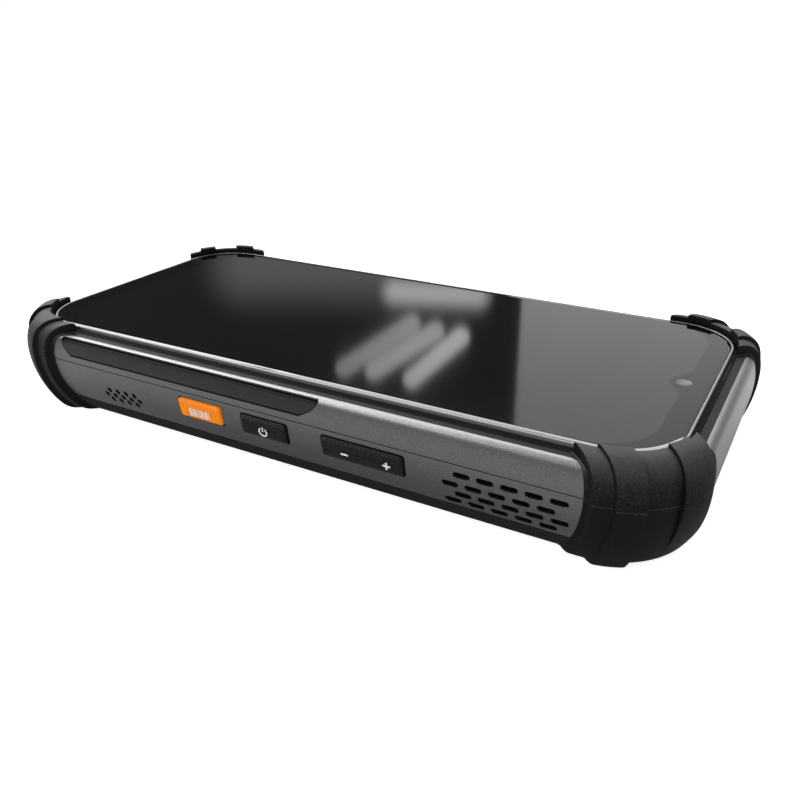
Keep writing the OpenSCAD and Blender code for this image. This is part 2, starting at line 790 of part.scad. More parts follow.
// Flat carrier with two card pockets and an end that closes the opening
module card_tray() {
    card_pocket = [12.6, 9.2];
    seat_y = glass_w / 2 + tray_seat_o;
    pocket_y = seat_y - tray_len + 1.2;
    color("#5e6063") {
        difference() {
            block([tray_mid_x - tray_w / 2, seat_y - tray_len, tray_mid_z - tray_body_t / 2],
                [tray_mid_x + tray_w / 2, seat_y + 0.3, tray_mid_z + tray_body_t / 2]);
            for (k = [0, 1])
                translate([tray_mid_x - card_pocket.x / 2, pocket_y + k * (card_pocket.y + 1.2), tray_mid_z - 0.2])
                    cube([card_pocket.x, card_pocket.y, 2]);
        }
        intersection() {
            long_side(tray_mid_x - 12, tray_mid_x + 12) polygon(concat(
                wall_outline(0, 7, 14),
                [[tray_seat_o + 0.1, 14], [tray_seat_o + 0.1, 7]]
            ));
            mirrored_y() through_right_wall() translate([tray_mid_x, tray_mid_z])
                rounded_rect(tray_face, 1.1);
        }
    }
}

// Sheet-metal guide that the tray slides into
module card_socket() {
    skin = 0.3;
    gap = 0.3;
    out_y = glass_w / 2 + 1;
    in_y = glass_w / 2 + tray_seat_o - tray_len - 0.8;
    half = tray_w / 2 + gap;
    low = tray_mid_z - tray_body_t / 2 - gap;
    high = tray_mid_z + tray_body_t / 2 + gap;
    color(steel_grey) difference() {
        block([tray_mid_x - half - skin, in_y - skin, low - skin],
            [tray_mid_x + half + skin, out_y, high + skin]);
        block([tray_mid_x - half, in_y, low], [tray_mid_x + half, out_y + 1, high]);
    }
}

// Inside

board_z = 12.6;
board_t = 1;
board_posts = [[27.5, 18], [27.5, -18], [56, 18], [71, -12]];
board_x = [24.5, 75];
board_y = [-21.5, 29];

module main_board()
    color(board_green) difference() {
        block([board_x[0], board_y[0], board_z], [board_x[1], board_y[1], board_z + board_t]);
        translate([66, 26.5, board_z - 1]) cylinder(r = boss_r + 0.3, h = 3);
    }

module shield_cans()
    color(steel_grey) {
        block([31, -16, board_z + board_t], [52, 4, board_z + board_t + 1.8]);
        block([31, 7, board_z + board_t], [50, 25, board_z + board_t + 1.8]);
        block([30, -18, board_z - 2], [54, 3, board_z]);
    }

battery_x = [-52, 22];
battery_half_y = 28.5;
battery_top = 11.6;

module battery() {
    edge = 1;
    color("#2e3238") translate([(battery_x[0] + battery_x[1]) / 2, 0, floor_z])
        linear_extrude(battery_top - floor_z)
            rounded_rect([battery_x[1] - battery_x[0], 2 * battery_half_y], edge);
}

module battery_lead()
    color("#c43a2a") {
        block([battery_x[1], -5, battery_top - 2.4], [battery_x[1] + 0.4, 5, board_z - 0.2]);
        block([battery_x[1], -5, board_z - 0.2], [battery_x[1] + 7, 5, board_z]);
    }

mesh_t = 0.25;
speaker_x = [38.5, 63.1];
speaker_z = [6.1, 14.4];

// Fine dust mesh against the inside of the wall
module wall_mesh(x0, x1, z0, z1)
    mirrored_y() long_side(x0, x1) intersection() {
        polygon(concat(inner_outline(0), reversed(inner_outline(mesh_t))));
        translate([0, z0]) square([10, z1 - z0]);
    }

module speaker_mesh()
    color("#111214") wall_mesh(speaker_x[0], speaker_x[1] + 1.2, speaker_z[0], speaker_z[1]);

module mic_mesh() color("#111214") wall_mesh(-52.4, -38.4, 6.8, 11.4);

module loudspeaker()
    color("#2a2b2d") mirrored_y() long_side(speaker_x[0], speaker_x[1]) intersection() {
        polygon(concat(inner_outline(mesh_t), [[-12.5, seam_z], [-12.5, cover_z]]));
        translate([-12.5, speaker_z[0]]) square([25, speaker_z[1] - speaker_z[0]]);
    }

module microphone()
    color(steel_grey) mirrored_y() long_side(-47.5, -43.5) polygon([
        [0.2, 8.4],
        [wall_o(8.4, -wall_t - mesh_t), 8.4],
        [wall_o(8.4, -wall_t - mesh_t), 11.2],
        [0.2, 11.2]
    ]);

module earpiece()
    color("#3a3b3d") block([73, earpiece_y[0] - 0.5, frame_under - 2.6], [80, earpiece_y[1] + 0.5, frame_under]);

barrel_r = camera_d / 2 + 1.15;

module front_camera() {
    body = 7.4;
    color("#0d0e10") {
        translate([camera_x, 0, frame_under - 0.5])
            cylinder(r = barrel_r, h = glass_top - glass_t - frame_under + 0.5);
        translate([camera_x, 0, frame_under - 0.9]) cube([body, body, 1.8], center = true);
    }
}

window_inner_z = back_z + window_t;

module rear_camera()
    color("#0d0e10") {
        translate([camera_window_at.x, camera_window_at.y + 5, window_inner_z]) cylinder(r = 4, h = 3.2);
        translate([camera_window_at.x - 4.5, camera_window_at.y + 0.5, window_inner_z + 3.2])
            cube([9, 9, 4]);
    }

module flash_lens()
    color("#e8e2c0") translate([camera_window_at.x, camera_window_at.y - 6, window_inner_z]) {
        cylinder(r = 2.2, h = 1.2);
        translate([-2.5, -2.5, 1.2]) cube([5, 5, 1]);
    }

module camera_window()
    color("#121315") translate([camera_window_at.x, camera_window_at.y, back_z])
        linear_extrude(window_t) rounded_rect(camera_window_size, 2.5);

module scan_window()
    color("#3a1216") translate([scan_window_at.x, scan_window_at.y, back_z])
        linear_extrude(window_t) rounded_rect(scan_window_size, 2.5);

module scan_engine()
    color("#26272a") block([scan_window_at.x - 4, scan_window_at.y - 6.5, window_inner_z],
        [scan_window_at.x + 4, scan_window_at.y + 6.5, window_inner_z + 6.5]);

module vibration_motor()
    color(steel_grey) translate([-66, 16, frame_under - 3]) cylinder(r = 5, h = 3);

// Ribbon from the panel's lower end, through the slot in the frame, down to the long board ribbon
module display_flex()
    color(flex_orange) {
        block([-71.8, -10, frame_under - 1.2], [-71.6, 10, ledge_z]);
        block([-71.8, -10, frame_under - 1.4], [26, 10, frame_under - 1.2]);
        block([25.8, -10, board_z + board_t], [26, 10, frame_under - 1.2]);
    }

module board_flex()
    color(flex_orange) {
        block([-64, 12, usb_board_top], [-63.8, 20, battery_top + 0.4]);
        block([-64, 12, battery_top + 0.4], [28, 20, battery_top + 0.6]);
        block([27.8, 12, battery_top + 0.6], [28, 20, board_z]);
    }

module antenna_flex()
    color("#3b3d40") for (side = [0, 1]) mirror([0, side, 0]) long_side(-8, 30)
        translate([1.6, frame_under - 1.4]) square([0.3, 1.4]);

cover_glass();
display_panel();
display_rim();
display_gasket();
mid_frame();
front_shell();
rear_shell();
back_cover();
shell_seal();
case_screws();
trim_strip_right();
trim_strip_left();
guard_top_right_front();
guard_top_right_rear();
guard_top_left_front();
guard_top_left_rear();
guard_bottom_right_front();
guard_bottom_right_rear();
guard_bottom_left_front();
guard_bottom_left_rear();
scan_key_right();
scan_key_left();
power_key();
volume_key();
key_board_right();
key_board_left();
key_switches();
port_cover();
port_cover_strap();
usb_board();
usb_socket();
card_tray();
card_socket();
main_board();
shield_cans();
battery();
battery_lead();
loudspeaker();
speaker_mesh();
microphone();
mic_mesh();
earpiece();
front_camera();
rear_camera();
camera_window();
flash_lens();
scan_engine();
scan_window();
vibration_motor();
display_flex();
board_flex();
antenna_flex();
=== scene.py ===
import bmesh
import bpy
from math import acos, atan2, cos, degrees, pi, radians, sin, sqrt
from mathutils import Matrix, Vector


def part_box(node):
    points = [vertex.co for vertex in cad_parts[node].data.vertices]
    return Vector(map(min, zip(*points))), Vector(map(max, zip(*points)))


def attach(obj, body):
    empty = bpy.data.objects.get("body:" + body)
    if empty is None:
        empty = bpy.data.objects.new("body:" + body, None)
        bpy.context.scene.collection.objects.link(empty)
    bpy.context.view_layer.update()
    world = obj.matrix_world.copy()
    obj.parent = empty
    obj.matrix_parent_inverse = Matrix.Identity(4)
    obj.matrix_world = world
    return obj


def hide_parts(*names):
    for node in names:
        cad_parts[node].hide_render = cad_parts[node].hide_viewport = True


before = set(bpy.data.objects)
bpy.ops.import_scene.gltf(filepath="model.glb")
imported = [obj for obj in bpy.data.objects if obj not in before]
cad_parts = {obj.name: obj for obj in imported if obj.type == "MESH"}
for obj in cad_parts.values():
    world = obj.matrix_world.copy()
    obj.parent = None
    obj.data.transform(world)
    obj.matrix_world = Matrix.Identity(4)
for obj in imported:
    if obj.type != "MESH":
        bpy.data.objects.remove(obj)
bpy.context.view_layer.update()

# Pieces are modelled in millimetres and brought to metres when they are done.
MM = 0.001


def frame_box(node):
    """Lowest and highest corner of a node of the frame, in millimetres"""
    low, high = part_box(node)
    return low / MM, high / MM


# Outline of the cover glass. Sections are pairs (o, z): how far out from the edge of the glass, and height.
glass_low, glass_high = frame_box("cover_glass")
HALF_L, HALF_W = glass_high.x + 0.05, glass_high.y + 0.05
CORNER = 13
STRAIGHT_X, STRAIGHT_Y = HALF_L - CORNER, HALF_W - CORNER

GLASS_TOP, GLASS_UNDER = glass_high.z, glass_low.z
SHELL_TOP = frame_box("front_shell")[1].z
COVER_Z, SEAM = [corner.z for corner in frame_box("rear_shell")]
BACK = frame_box("back_cover")[0].z
LEDGE = frame_box("display_gasket")[0].z

# The wall is widest at the seam. Two arcs run from there to the shoulder and to the edge of the back.
WAIST = 5.95
UPPER_R, LOWER_R = 14.5, 23.4
SHOULDER_R, BACK_EDGE_R = 2.2, 2
WALL = 2
# Width of the rim, its height above the gasket, and where the gasket ends
RIM_W = 0.52
RIM_DROP = 0.78
GASKET = 1.55


# The camera stands where the photograph was taken from, fitted to the outline of the screen.

def set_camera():
    place = Vector((96.28, -158.01, 90.34)) * MM
    azimuth, elevation, roll = radians(29.52), radians(25.61), radians(-0.48)
    back = Vector((sin(azimuth) * cos(elevation), -cos(azimuth) * cos(elevation), sin(elevation)))
    level = Vector((0, 0, 1)).cross(back).normalized()
    upright = back.cross(level)
    right = level * cos(roll) + upright * sin(roll)
    up = upright * cos(roll) - level * sin(roll)
    lens = bpy.data.cameras.new("camera")
    lens.sensor_width = 36
    lens.lens = 36.59
    lens.clip_start = 0.01
    camera = bpy.data.objects.new("camera", lens)
    camera.matrix_world = Matrix.Translation(place) @ Matrix((right, up, back)).transposed().to_4x4()
    bpy.context.scene.collection.objects.link(camera)
    bpy.context.scene.camera = camera


# Materials

def paint(code):
    """Linear colour of an sRGB hex code"""
    parts = [int(code[i:i + 2], 16) / 255 for i in (1, 3, 5)]
    return [c / 12.92 if c <= 0.04045 else ((c + 0.055) / 1.055) ** 2.4 for c in parts] + [1]


def add(tree, kind, inputs, **settings):
    """Adds a node. An input is a value, or the output of another node to link to it."""
    node = tree.nodes.new("ShaderNode" + kind)
    for name, value in settings.items():
        setattr(node, name, value)
    for name, value in inputs.items():
        if isinstance(value, bpy.types.NodeSocket):
            tree.links.new(value, node.inputs[name])
        else:
            node.inputs[name].default_value = value
    return node


def compute(tree, operation, *values):
    """Result of a Math node"""
    return add(tree, "Math", dict(enumerate(values)), operation=operation).outputs[0]


def new_material(name, specular=0.5, **principled):
    """A material with its Principled shader, and the object's own coordinates to lay patterns on"""
    material = bpy.data.materials.new(name)
    material.use_nodes = True
    tree = material.node_tree
    shader = tree.nodes["Principled BSDF"]
    shader.inputs["Specular IOR Level"].default_value = specular
    for socket, value in principled.items():
        shader.inputs[socket].default_value = value
    place = add(tree, "TexCoord", {}).outputs["Object"]
    return material, tree, shader, place


def grain(tree, shader, place, size, height, detail=2.0, roughness=0.5):
    """Bumps of a real size and height, in millimetres, on the shader's normal. Returns their pattern."""
    noise = add(tree, "TexNoise", {"Vector": place, "Scale": 1 / (size * MM), "Detail": detail,
                                   "Roughness": roughness})
    bump = add(tree, "Bump", {"Height": noise.outputs["Fac"], "Distance": height * MM, "Strength": 1})
    tree.links.new(bump.outputs["Normal"], shader.inputs["Normal"])
    return noise.outputs["Fac"]


def shades(tree, shader, fac, dark, light, low=0.3, high=0.7):
    """Gives the shader a colour that runs from dark to light as fac goes from low to high"""
    ramp = add(tree, "ValToRGB", {"Fac": fac})
    for stop, position, colour in zip(ramp.color_ramp.elements, (low, high), (dark, light)):
        stop.position = position
        stop.color = paint(colour)
    tree.links.new(ramp.outputs["Color"], shader.inputs["Base Color"])


def sprayed_paint():
    """Metallic spray paint: grey from the side, and bright with a sparkle where it mirrors the lamps"""
    # Flakes are drawn about five times their real size, so that they show.
    material, tree, shader, place = new_material("sprayed_metallic_paint", Metallic=0.9, Roughness=0.36)
    flakes = grain(tree, shader, place, 0.35, 0.045, 3.0, 0.65)
    shades(tree, shader, flakes, "#4b4c4d", "#5a5b5c")
    return material


def moulded_rubber():
    """Thermoplastic rubber from an eroded mould: matt black, mottled by its grain. What faces up is drawn lighter,
    as painted light on the tops.
    """
    material, tree, shader, place = new_material("moulded_tpu_rubber", Roughness=0.55, specular=0.06)
    pores = grain(tree, shader, place, 0.45, 0.09, 3.0, 0.6)
    upward = add(tree, "SeparateXYZ", {"Vector": add(tree, "NewGeometry", {}).outputs["Normal"]}).outputs["Z"]
    centred_pores = compute(tree, "ADD", pores, -0.5)
    # Painted light: the tops are drawn lighter by how far they face up, with the grain's mottle added
    grain_and_painted_top_light = compute(tree, "MULTIPLY_ADD", centred_pores, 0.8, upward)
    shades(tree, shader, grain_and_painted_top_light, "#0f0f10", "#444446", 0.05, 0.95)
    return material


def plain_finish(name, dark, light, size=0.3, height=0.006, **principled):
    """A surface whose colour and bumps vary a little at the size of its grain, in millimetres"""
    material, tree, shader, place = new_material(name, **principled)
    texture = grain(tree, shader, place, size, height)
    shades(tree, shader, texture, dark, light)
    return material


def woven(name, dark, light, pitch, **principled):
    """Two crossing sets of threads at a real pitch in millimetres, laid over x + y and z"""
    material, tree, shader, place = new_material(name, **principled)
    axes = add(tree, "SeparateXYZ", {"Vector": place}).outputs
    along = compute(tree, "ADD", axes["X"], axes["Y"])
    waves = [compute(tree, "SINE", compute(tree, "MULTIPLY", axis, 2 * pi / (pitch * MM)))
             for axis in (along, axes["Z"])]
    product = compute(tree, "MULTIPLY", *waves)
    shades(tree, shader, product, dark, light, 0, 0.6)
    return material


# Modelling

def select_only(*pieces):
    """Selects pieces and makes the first one active"""
    bpy.ops.object.select_all(action="DESELECT")
    for piece in pieces:
        piece.select_set(True)
    bpy.context.view_layer.objects.active = pieces[0]


def pick(test, of="VERT"):
    """In edit mode, selects only the points or edges that pass the test"""
    bpy.ops.mesh.select_all(action="DESELECT")
    bpy.ops.mesh.select_mode(type=of)
    mesh = bmesh.from_edit_mesh(bpy.context.object.data)
    for part in {"VERT": mesh.verts, "EDGE": mesh.edges}[of]:
        if test(part):
            part.select_set(True)
    mesh.select_flush_mode()
    bmesh.update_edit_mesh(bpy.context.object.data)


def draw(name, points, closed=True):
    """Starts a piece as one point and extrudes it from place to place. Leaves it in edit mode, selected."""
    bpy.ops.object.select_all(action="DESELECT")
    bpy.ops.mesh.primitive_plane_add(size=1)
    bpy.context.object.name = name
    bpy.ops.object.mode_set(mode="EDIT")
    bpy.ops.mesh.select_mode(type="VERT")
    bpy.ops.mesh.merge(type="CENTER")
    bpy.ops.transform.translate(value=points[0])
    for here, there in zip(points, points[1:]):
        bpy.ops.mesh.extrude_region_move(TRANSFORM_OT_translate={"value": Vector(there) - Vector(here)})
    if closed:
        pick(lambda point: len(point.link_edges) == 1)
        bpy.ops.mesh.edge_face_add()
    bpy.ops.mesh.select_all(action="SELECT")
    return bpy.context.object


def sweep_round(name, section, closed=True):
    """Sweeps a section all round the glass: along a side, round a corner, along the next"""
    piece = draw(name, [(-STRAIGHT_X, HALF_W + o, z) for o, z in section], closed)
    for x, y, side in ((1, 1, (2 * STRAIGHT_X, 0, 0)), (1, -1, (0, -2 * STRAIGHT_Y, 0)),
                       (-1, -1, (-2 * STRAIGHT_X, 0, 0)), (-1, 1, (0, 2 * STRAIGHT_Y, 0))):
        bpy.ops.mesh.extrude_region_move(TRANSFORM_OT_translate={"value": side})
        bpy.ops.mesh.spin(steps=24, angle=pi / 2, center=(x * STRAIGHT_X, y * STRAIGHT_Y, 0), axis=(0, 0, 1))
    bpy.ops.mesh.select_all(action="SELECT")
    bpy.ops.mesh.remove_doubles(threshold=0.0005)
    return piece


def close_mesh():
    """Fills what is open, turns the faces outwards and leaves edit mode"""
    bpy.ops.mesh.select_all(action="SELECT")
    bpy.ops.mesh.fill_holes(sides=0)
    bpy.ops.mesh.select_all(action="SELECT")
    bpy.ops.mesh.normals_make_consistent(inside=False)
    bpy.ops.object.mode_set(mode="OBJECT")


def wrap(name, loops):
    """Wraps a grid round closed loops of points, one row of the grid to a loop, and closes both ends"""
    count = len(loops[0])
    bpy.ops.object.select_all(action="DESELECT")
    bpy.ops.mesh.primitive_grid_add(x_subdivisions=count, y_subdivisions=len(loops) - 1, size=1)
    piece = bpy.context.object
    piece.name = name
    for index, point in enumerate(piece.data.vertices):
        row, place = divmod(index, count + 1)
        point.co = loops[row][place % count]
    bpy.ops.object.mode_set(mode="EDIT")
    bpy.ops.mesh.select_all(action="SELECT")
    bpy.ops.mesh.remove_doubles(threshold=0.0005)
    close_mesh()
    return piece


def turned(name, x, y, profile, points=48, base=0):
    """A round piece about an upright axis, from pairs of radius and height above a base"""
    around = [radians(360 * i / points) for i in range(points)]
    return wrap(name, [[(x + r * cos(a), y + r * sin(a), base + z) for a in around] for r, z in profile])


def join(pieces):
    """Makes one piece of several, under the name of the first"""
    select_only(*pieces)
    if len(pieces) > 1:
        bpy.ops.object.join()
    return pieces[0]


def cut(piece, cutter, how="DIFFERENCE"):
    """Takes the cutter out of a piece, or adds it by a UNION"""
    select_only(piece)
    bpy.ops.object.modifier_add(type="BOOLEAN")
    modifier = piece.modifiers[-1]
    modifier.operation = how
    modifier.solver = "EXACT"
    modifier.object = cutter
    bpy.ops.object.modifier_apply(modifier=modifier.name)
    bpy.data.objects.remove(cutter)


def copy_of(piece, name, x, y):
    """A copy with its own mesh, mirrored where x or y is -1"""
    twin = piece.copy()
    twin.data = piece.data.copy()
    twin.name = name
    bpy.context.scene.collection.objects.link(twin)
    twin.data.transform(Matrix.Diagonal((x, y, 1, 1)))
    if x * y < 0:
        twin.data.flip_normals()
    return twin


def settle(piece, finish, replaced=(), body="housing"):
    """Shades a finished piece, brings it to metres, gives it its finish and hands it to its body"""
    select_only(piece)
    bpy.ops.object.shade_smooth_by_angle(angle=radians(30))
    piece.data.transform(Matrix.Scale(MM, 4))
    if finish:
        piece.data.materials.clear()
        piece.data.materials.append(finish)
    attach(piece, body)
    if replaced:
        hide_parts(*replaced)


def arc(centre, radius, start, end, steps):
    """Points of an arc of a section, angles in degrees from straight out"""
    angles = [radians(start + (end - start) * i / steps) for i in range(steps + 1)]
    return [(centre[0] + radius * cos(a), centre[1] + radius * sin(a)) for a in angles]


def wall_at(z, grow=0):
    """How far out the wall stands at a height, for a layer grown outwards"""
    radius = UPPER_R if z > SEAM else LOWER_R
    return WAIST - radius + sqrt((radius + grow) ** 2 - (z - SEAM) ** 2)


def wall_section(sense, grow, end_z, edge, steps):
    """Section of the wall from the seam round an edge to a flat end: up with sense 1, down with -1"""
    curve = UPPER_R if sense > 0 else LOWER_R
    radius, centre = curve + grow, (WAIST - curve, SEAM)
    edge_z = end_z - sense * edge
    edge_o = centre[0] + sqrt((radius - edge) ** 2 - (edge_z - SEAM) ** 2)
    meet = degrees(atan2(edge_z - SEAM, edge_o - centre[0]))
    wall = arc(centre, radius, 0, meet, steps[0])
    return wall + arc((edge_o, edge_z), edge, meet, 90 * sense, steps[1])[1:]


LOWER_WALL = wall_section(-1, 0, BACK, BACK_EDGE_R, (26, 12))
SEAM_ROUND = 0.16


def rounded_start(section):
    """Replaces the first point of a section, at the seam, by a small round edge"""
    (o, z), (_, toward) = section[0], section[1]
    up = 1 if toward > z else -1
    centre = (o - SEAM_ROUND, z + up * SEAM_ROUND)
    edge = arc(centre, SEAM_ROUND, -90 * up, 0, 3)
    return edge + [point for point in section if (point[1] - z) * up > SEAM_ROUND]


QUARTERS = ((1, 1), (-1, 1), (-1, -1), (1, -1))


def rounded(x, z, width, height, radius, parts=(1, 9)):
    """Outline of a rounded rectangle, as a function of its growth. Its sides are divided, to follow a wall."""
    def outline(grow):
        r = max(radius + grow, 0.02)
        in_x, in_z = width / 2 + grow - r, height / 2 + grow - r
        corners = []
        for quarter, (sx, sz) in enumerate(QUARTERS):
            corners.append(arc((x + sx * in_x, z + sz * in_z), r, 90 * quarter, 90 * quarter + 90, 5))
        points = []
        for quarter, corner in enumerate(corners):
            (x0, z0), (x1, z1) = corner[-1], corners[(quarter + 1) % 4][0]
            count = parts[quarter % 2]
            points += corner
            points += [(x0 + (x1 - x0) * k / count, z0 + (z1 - z0) * k / count) for k in range(1, count)]
        return points
    return outline


def on_wall(points, depth, face):
    """Lays flat points on a wall of the housing, at a depth below its surface"""
    placed = []
    for across, z in points:
        out = wall_at(z, -depth)
        placed.append({"right": (across, -HALF_W - out, z), "left": (across, HALF_W + out, z),
                       "bottom": (-HALF_L - out, across, z)}[face])
    return placed


def plug(name, outline, levels, face="right"):
    """A piece from an outline on a wall, at several levels, which are pairs of depth and growth"""
    return wrap(name, [on_wall(outline(grow), depth, face) for depth, grow in levels])


def flat_plug(name, x, y, width, length, radius, levels):
    """A rounded upright block. Levels are pairs of height and growth."""
    outline = rounded(x, y, width, length, radius, (1, 1))
    return wrap(name, [[(px, py, z) for px, py in outline(grow)] for z, grow in levels])


def two_finishes(piece, first, second, test):
    """Gives a piece its first finish, and the second on the faces that pass the test"""
    piece.data.materials.append(first)
    piece.data.materials.append(second)
    for face in piece.data.polygons:
        if test(face):
            face.material_index = 1


# Rounding of an opening's edge, and the levels of an opening through the wall
LIP = 0.12
THROUGH = ((-1, LIP), (0, LIP), (LIP, 0), (WALL + 0.6, 0))


# Screen

CAMERA_X = 72.7
CAMERA_R = 1.75


def make_glass(over_panel, over_ink):
    """Cover glass: black ink behind its border, the panel behind the rest, with a notch at the camera"""
    bevel, edge, border = 0.2, -0.05, -1.2
    piece = sweep_round("cover_glass_dressed", [
        (border, GLASS_TOP), (edge - bevel, GLASS_TOP), (edge - bevel * 0.3, GLASS_TOP - bevel * 0.3),
        (edge, GLASS_TOP - bevel), (edge, GLASS_UNDER), (border, GLASS_UNDER)], closed=False)
    bpy.ops.object.mode_set(mode="OBJECT")
    low, high, half, round_r = -72.2, 73.1, 33.5, 11.5
    notch_x, notch_half = 69.7, 3.6
    outline = []
    for cx, cy, start in ((high - round_r, half - round_r, 90), (high - round_r, round_r - half, 0),
                          (low + round_r, round_r - half, -90), (low + round_r, half - round_r, -180)):
        outline += [(x, y, GLASS_TOP) for x, y in arc((cx, cy), round_r, start, start - 90, 18)]
        if start == 90:
            steps = 24
            for i in range(steps + 1):
                across = 1 - 2 * i / steps
                dip = (high - notch_x) * (0.5 + 0.5 * cos(pi * across))
                outline.append((high - dip, across * notch_half * 2, GLASS_TOP))
    view = draw("view", outline)
    bpy.ops.object.mode_set(mode="OBJECT")
    join([piece, view])
    bpy.ops.object.mode_set(mode="EDIT")
    on_top = GLASS_TOP - 0.001
    inside_border = lambda point: (point.co.z > on_top and abs(point.co.x) < HALF_L + border + 0.01
                                   and abs(point.co.y) < HALF_W + border + 0.01)
    pick(lambda edge: all(inside_border(p) for p in edge.verts) and len(edge.link_faces) < 2, "EDGE")
    bpy.ops.mesh.fill(use_beauty=False)
    close_mesh()
    largest_other_face = 5000
    two_finishes(piece, over_ink, over_panel,
                 lambda face: face.normal.z > 0.9 and face.area > largest_other_face)
    cut(piece, turned("hole", CAMERA_X, 0, [(CAMERA_R, GLASS_UNDER - 1), (CAMERA_R, GLASS_TOP + 1)]))
    settle(piece, None, ["cover_glass"])


def make_camera_lens(ring_finish):
    """Grey ring and dish in the hole in the glass"""
    r, under = CAMERA_R, GLASS_UNDER - GLASS_TOP - 0.1
    piece = turned("front_camera_lens", CAMERA_X, 0, [
        (r - 0.04, under), (r - 0.04, -0.12), (r - 0.1, -0.06), (r - 0.45, -0.08), (r - 0.55, -0.14),
        (0.8, -0.24), (0.4, -0.28), (0.1, -0.29)], base=GLASS_TOP)
    settle(piece, ring_finish)


def make_rim(metal):
    """Flat-topped metal ring round the glass"""
    under, lip = frame_box("display_rim")[0].z, -0.7
    piece = sweep_round("display_rim_dressed", [
        (0, GLASS_TOP - 0.04), (0.04, GLASS_TOP), (RIM_W - 0.12, GLASS_TOP), (RIM_W - 0.04, GLASS_TOP - 0.05),
        (RIM_W, GLASS_TOP - 0.14), (RIM_W, under), (lip, under), (lip, GLASS_UNDER), (0, GLASS_UNDER)])
    close_mesh()
    settle(piece, metal, ["display_rim"])


def make_gasket(rubber, cloth):
    """Seal that falls away from the rim to the shell, with the earpiece's slit and its cloth"""
    piece = sweep_round("display_gasket_dressed", [
        (RIM_W, LEDGE), (GASKET, LEDGE), (GASKET, SHELL_TOP - 0.1), (GASKET - 0.1, SHELL_TOP),
        (RIM_W + 0.1, GLASS_TOP - RIM_DROP - 0.02), (RIM_W, GLASS_TOP - RIM_DROP - 0.1)])
    close_mesh()
    cut(piece, flat_plug("slit", HALF_L + 1, 12, 0.5, 10, 0.24, ((LEDGE - 1, 0), (GLASS_TOP, 0))))
    settle(piece, rubber, ["display_gasket"])
    mesh = flat_plug("earpiece_mesh", HALF_L + 1, 12, 0.48, 9.98, 0.23, ((LEDGE + 0.2, 0), (SHELL_TOP + 0.18, 0)))
    settle(mesh, cloth)


# Shells

KEY_Z = (9.35, 13.9)
KEYS = {"scan_key_right": (-26, -14.2), "power_key": (-8.75, 3.1), "volume_key": (11.8, 30.5)}
KEY_GAP = 0.22

# First slot of each loudspeaker row. First microphone hole, and the steps to the next column and down.
SLOT_ROWS = ((42.65, 13.15), (40.25, 10.75), (42.75, 8.6), (40.5, 6.65))
MIC_START = (-48.7, 10.35)
MIC_STEP = (2.64, 0.04)
MIC_DOWN = (-1.34, -1.32)
MIC_COLUMNS = (2, 3, 3, 3, 2)

PORT_Z = 10.6
TRAY_X = 50
TRAY_Z = 10.6

# Trim strip: from end to end, from edge to edge, and how far its lower edge falls short of each end
TRIM_X = (-62.9, 10.4)
TRIM_Z = (17.1, 20.25)
TRIM_SLANT = (3.1, 4)


def skin_at(z):
    """How far out the front shell stands at a height, on its wall or its shoulder"""
    shoulder_z = SHELL_TOP - SHOULDER_R
    if z < SEAM + (shoulder_z - SEAM) * UPPER_R / (UPPER_R - SHOULDER_R):
        return wall_at(z)
    shoulder_o = WAIST - UPPER_R + sqrt((UPPER_R - SHOULDER_R) ** 2 - (shoulder_z - SEAM) ** 2)
    return shoulder_o + sqrt(SHOULDER_R ** 2 - (z - shoulder_z) ** 2)


def trim_rows(grow=0):
    """Rows (z, start, end) of the trim strip. Its lower edge curves up into both ends, its upper gap is wider."""
    upper_gap = 1.9
    low, high = TRIM_Z[0] - grow, TRIM_Z[1] + upper_gap * grow
    start, end = TRIM_X[0] - grow, TRIM_X[1] + grow
    snip = 0.35
    rows = []
    for i in range(16):
        rise = (i / 15) ** 1.5
        share = (1 - rise) ** 1.7
        rows.append((low + (high - snip - low) * rise, start + TRIM_SLANT[0] * share, end - TRIM_SLANT[1] * share))
    return rows + [(high, start + snip, end - snip)]


def below(surface, face):
    """Tells whether a face of a shell is inside it or in an opening"""
    skin, beside_gasket = 0.05, GASKET + 0.2
    beyond = max(abs(face.center.x) - HALF_L, abs(face.center.y) - HALF_W)
    return beyond > beside_gasket and surface(face.center.z) - beyond > skin


def make_front_shell(finish, bare_painted_shade):
    """The upper wall and shoulder, with a pocket for the trim strip in each long side"""
    section = rounded_start(wall_section(1, 0, SHELL_TOP, SHOULDER_R, (16, 36)))
    inner = wall_section(1, -WALL, SHELL_TOP - WALL, 0.5, (4, 2))
    inner = [point for point in inner if point[1] < LEDGE]
    section += [(GASKET + 0.12, SHELL_TOP), (GASKET, SHELL_TOP - 0.12), (GASKET, LEDGE)] + inner[::-1]
    piece = sweep_round("front_shell_dressed", section)
    close_mesh()
    gap = 0.2
    pockets = []
    for side in (-1, 1):
        loops = []
        for depth, grow in ((-0.8, gap + LIP), (0, gap + LIP), (LIP, gap), (1.1, gap)):
            rows = trim_rows(grow)
            outline = [(end, z) for z, start, end in rows] + [(start, z) for z, start, end in rows[::-1]]
            loops.append([(x, side * (HALF_W + skin_at(z) - depth), z) for x, z in outline])
        pockets.append(wrap("pocket", loops))
    cut(piece, join(pockets))
    # The pocket walls and the inside get the near-black plastic, as painted shade in the gap round the trim strip
    two_finishes(piece, finish, bare_painted_shade, lambda face: below(skin_at, face))
    settle(piece, None, ["front_shell"])


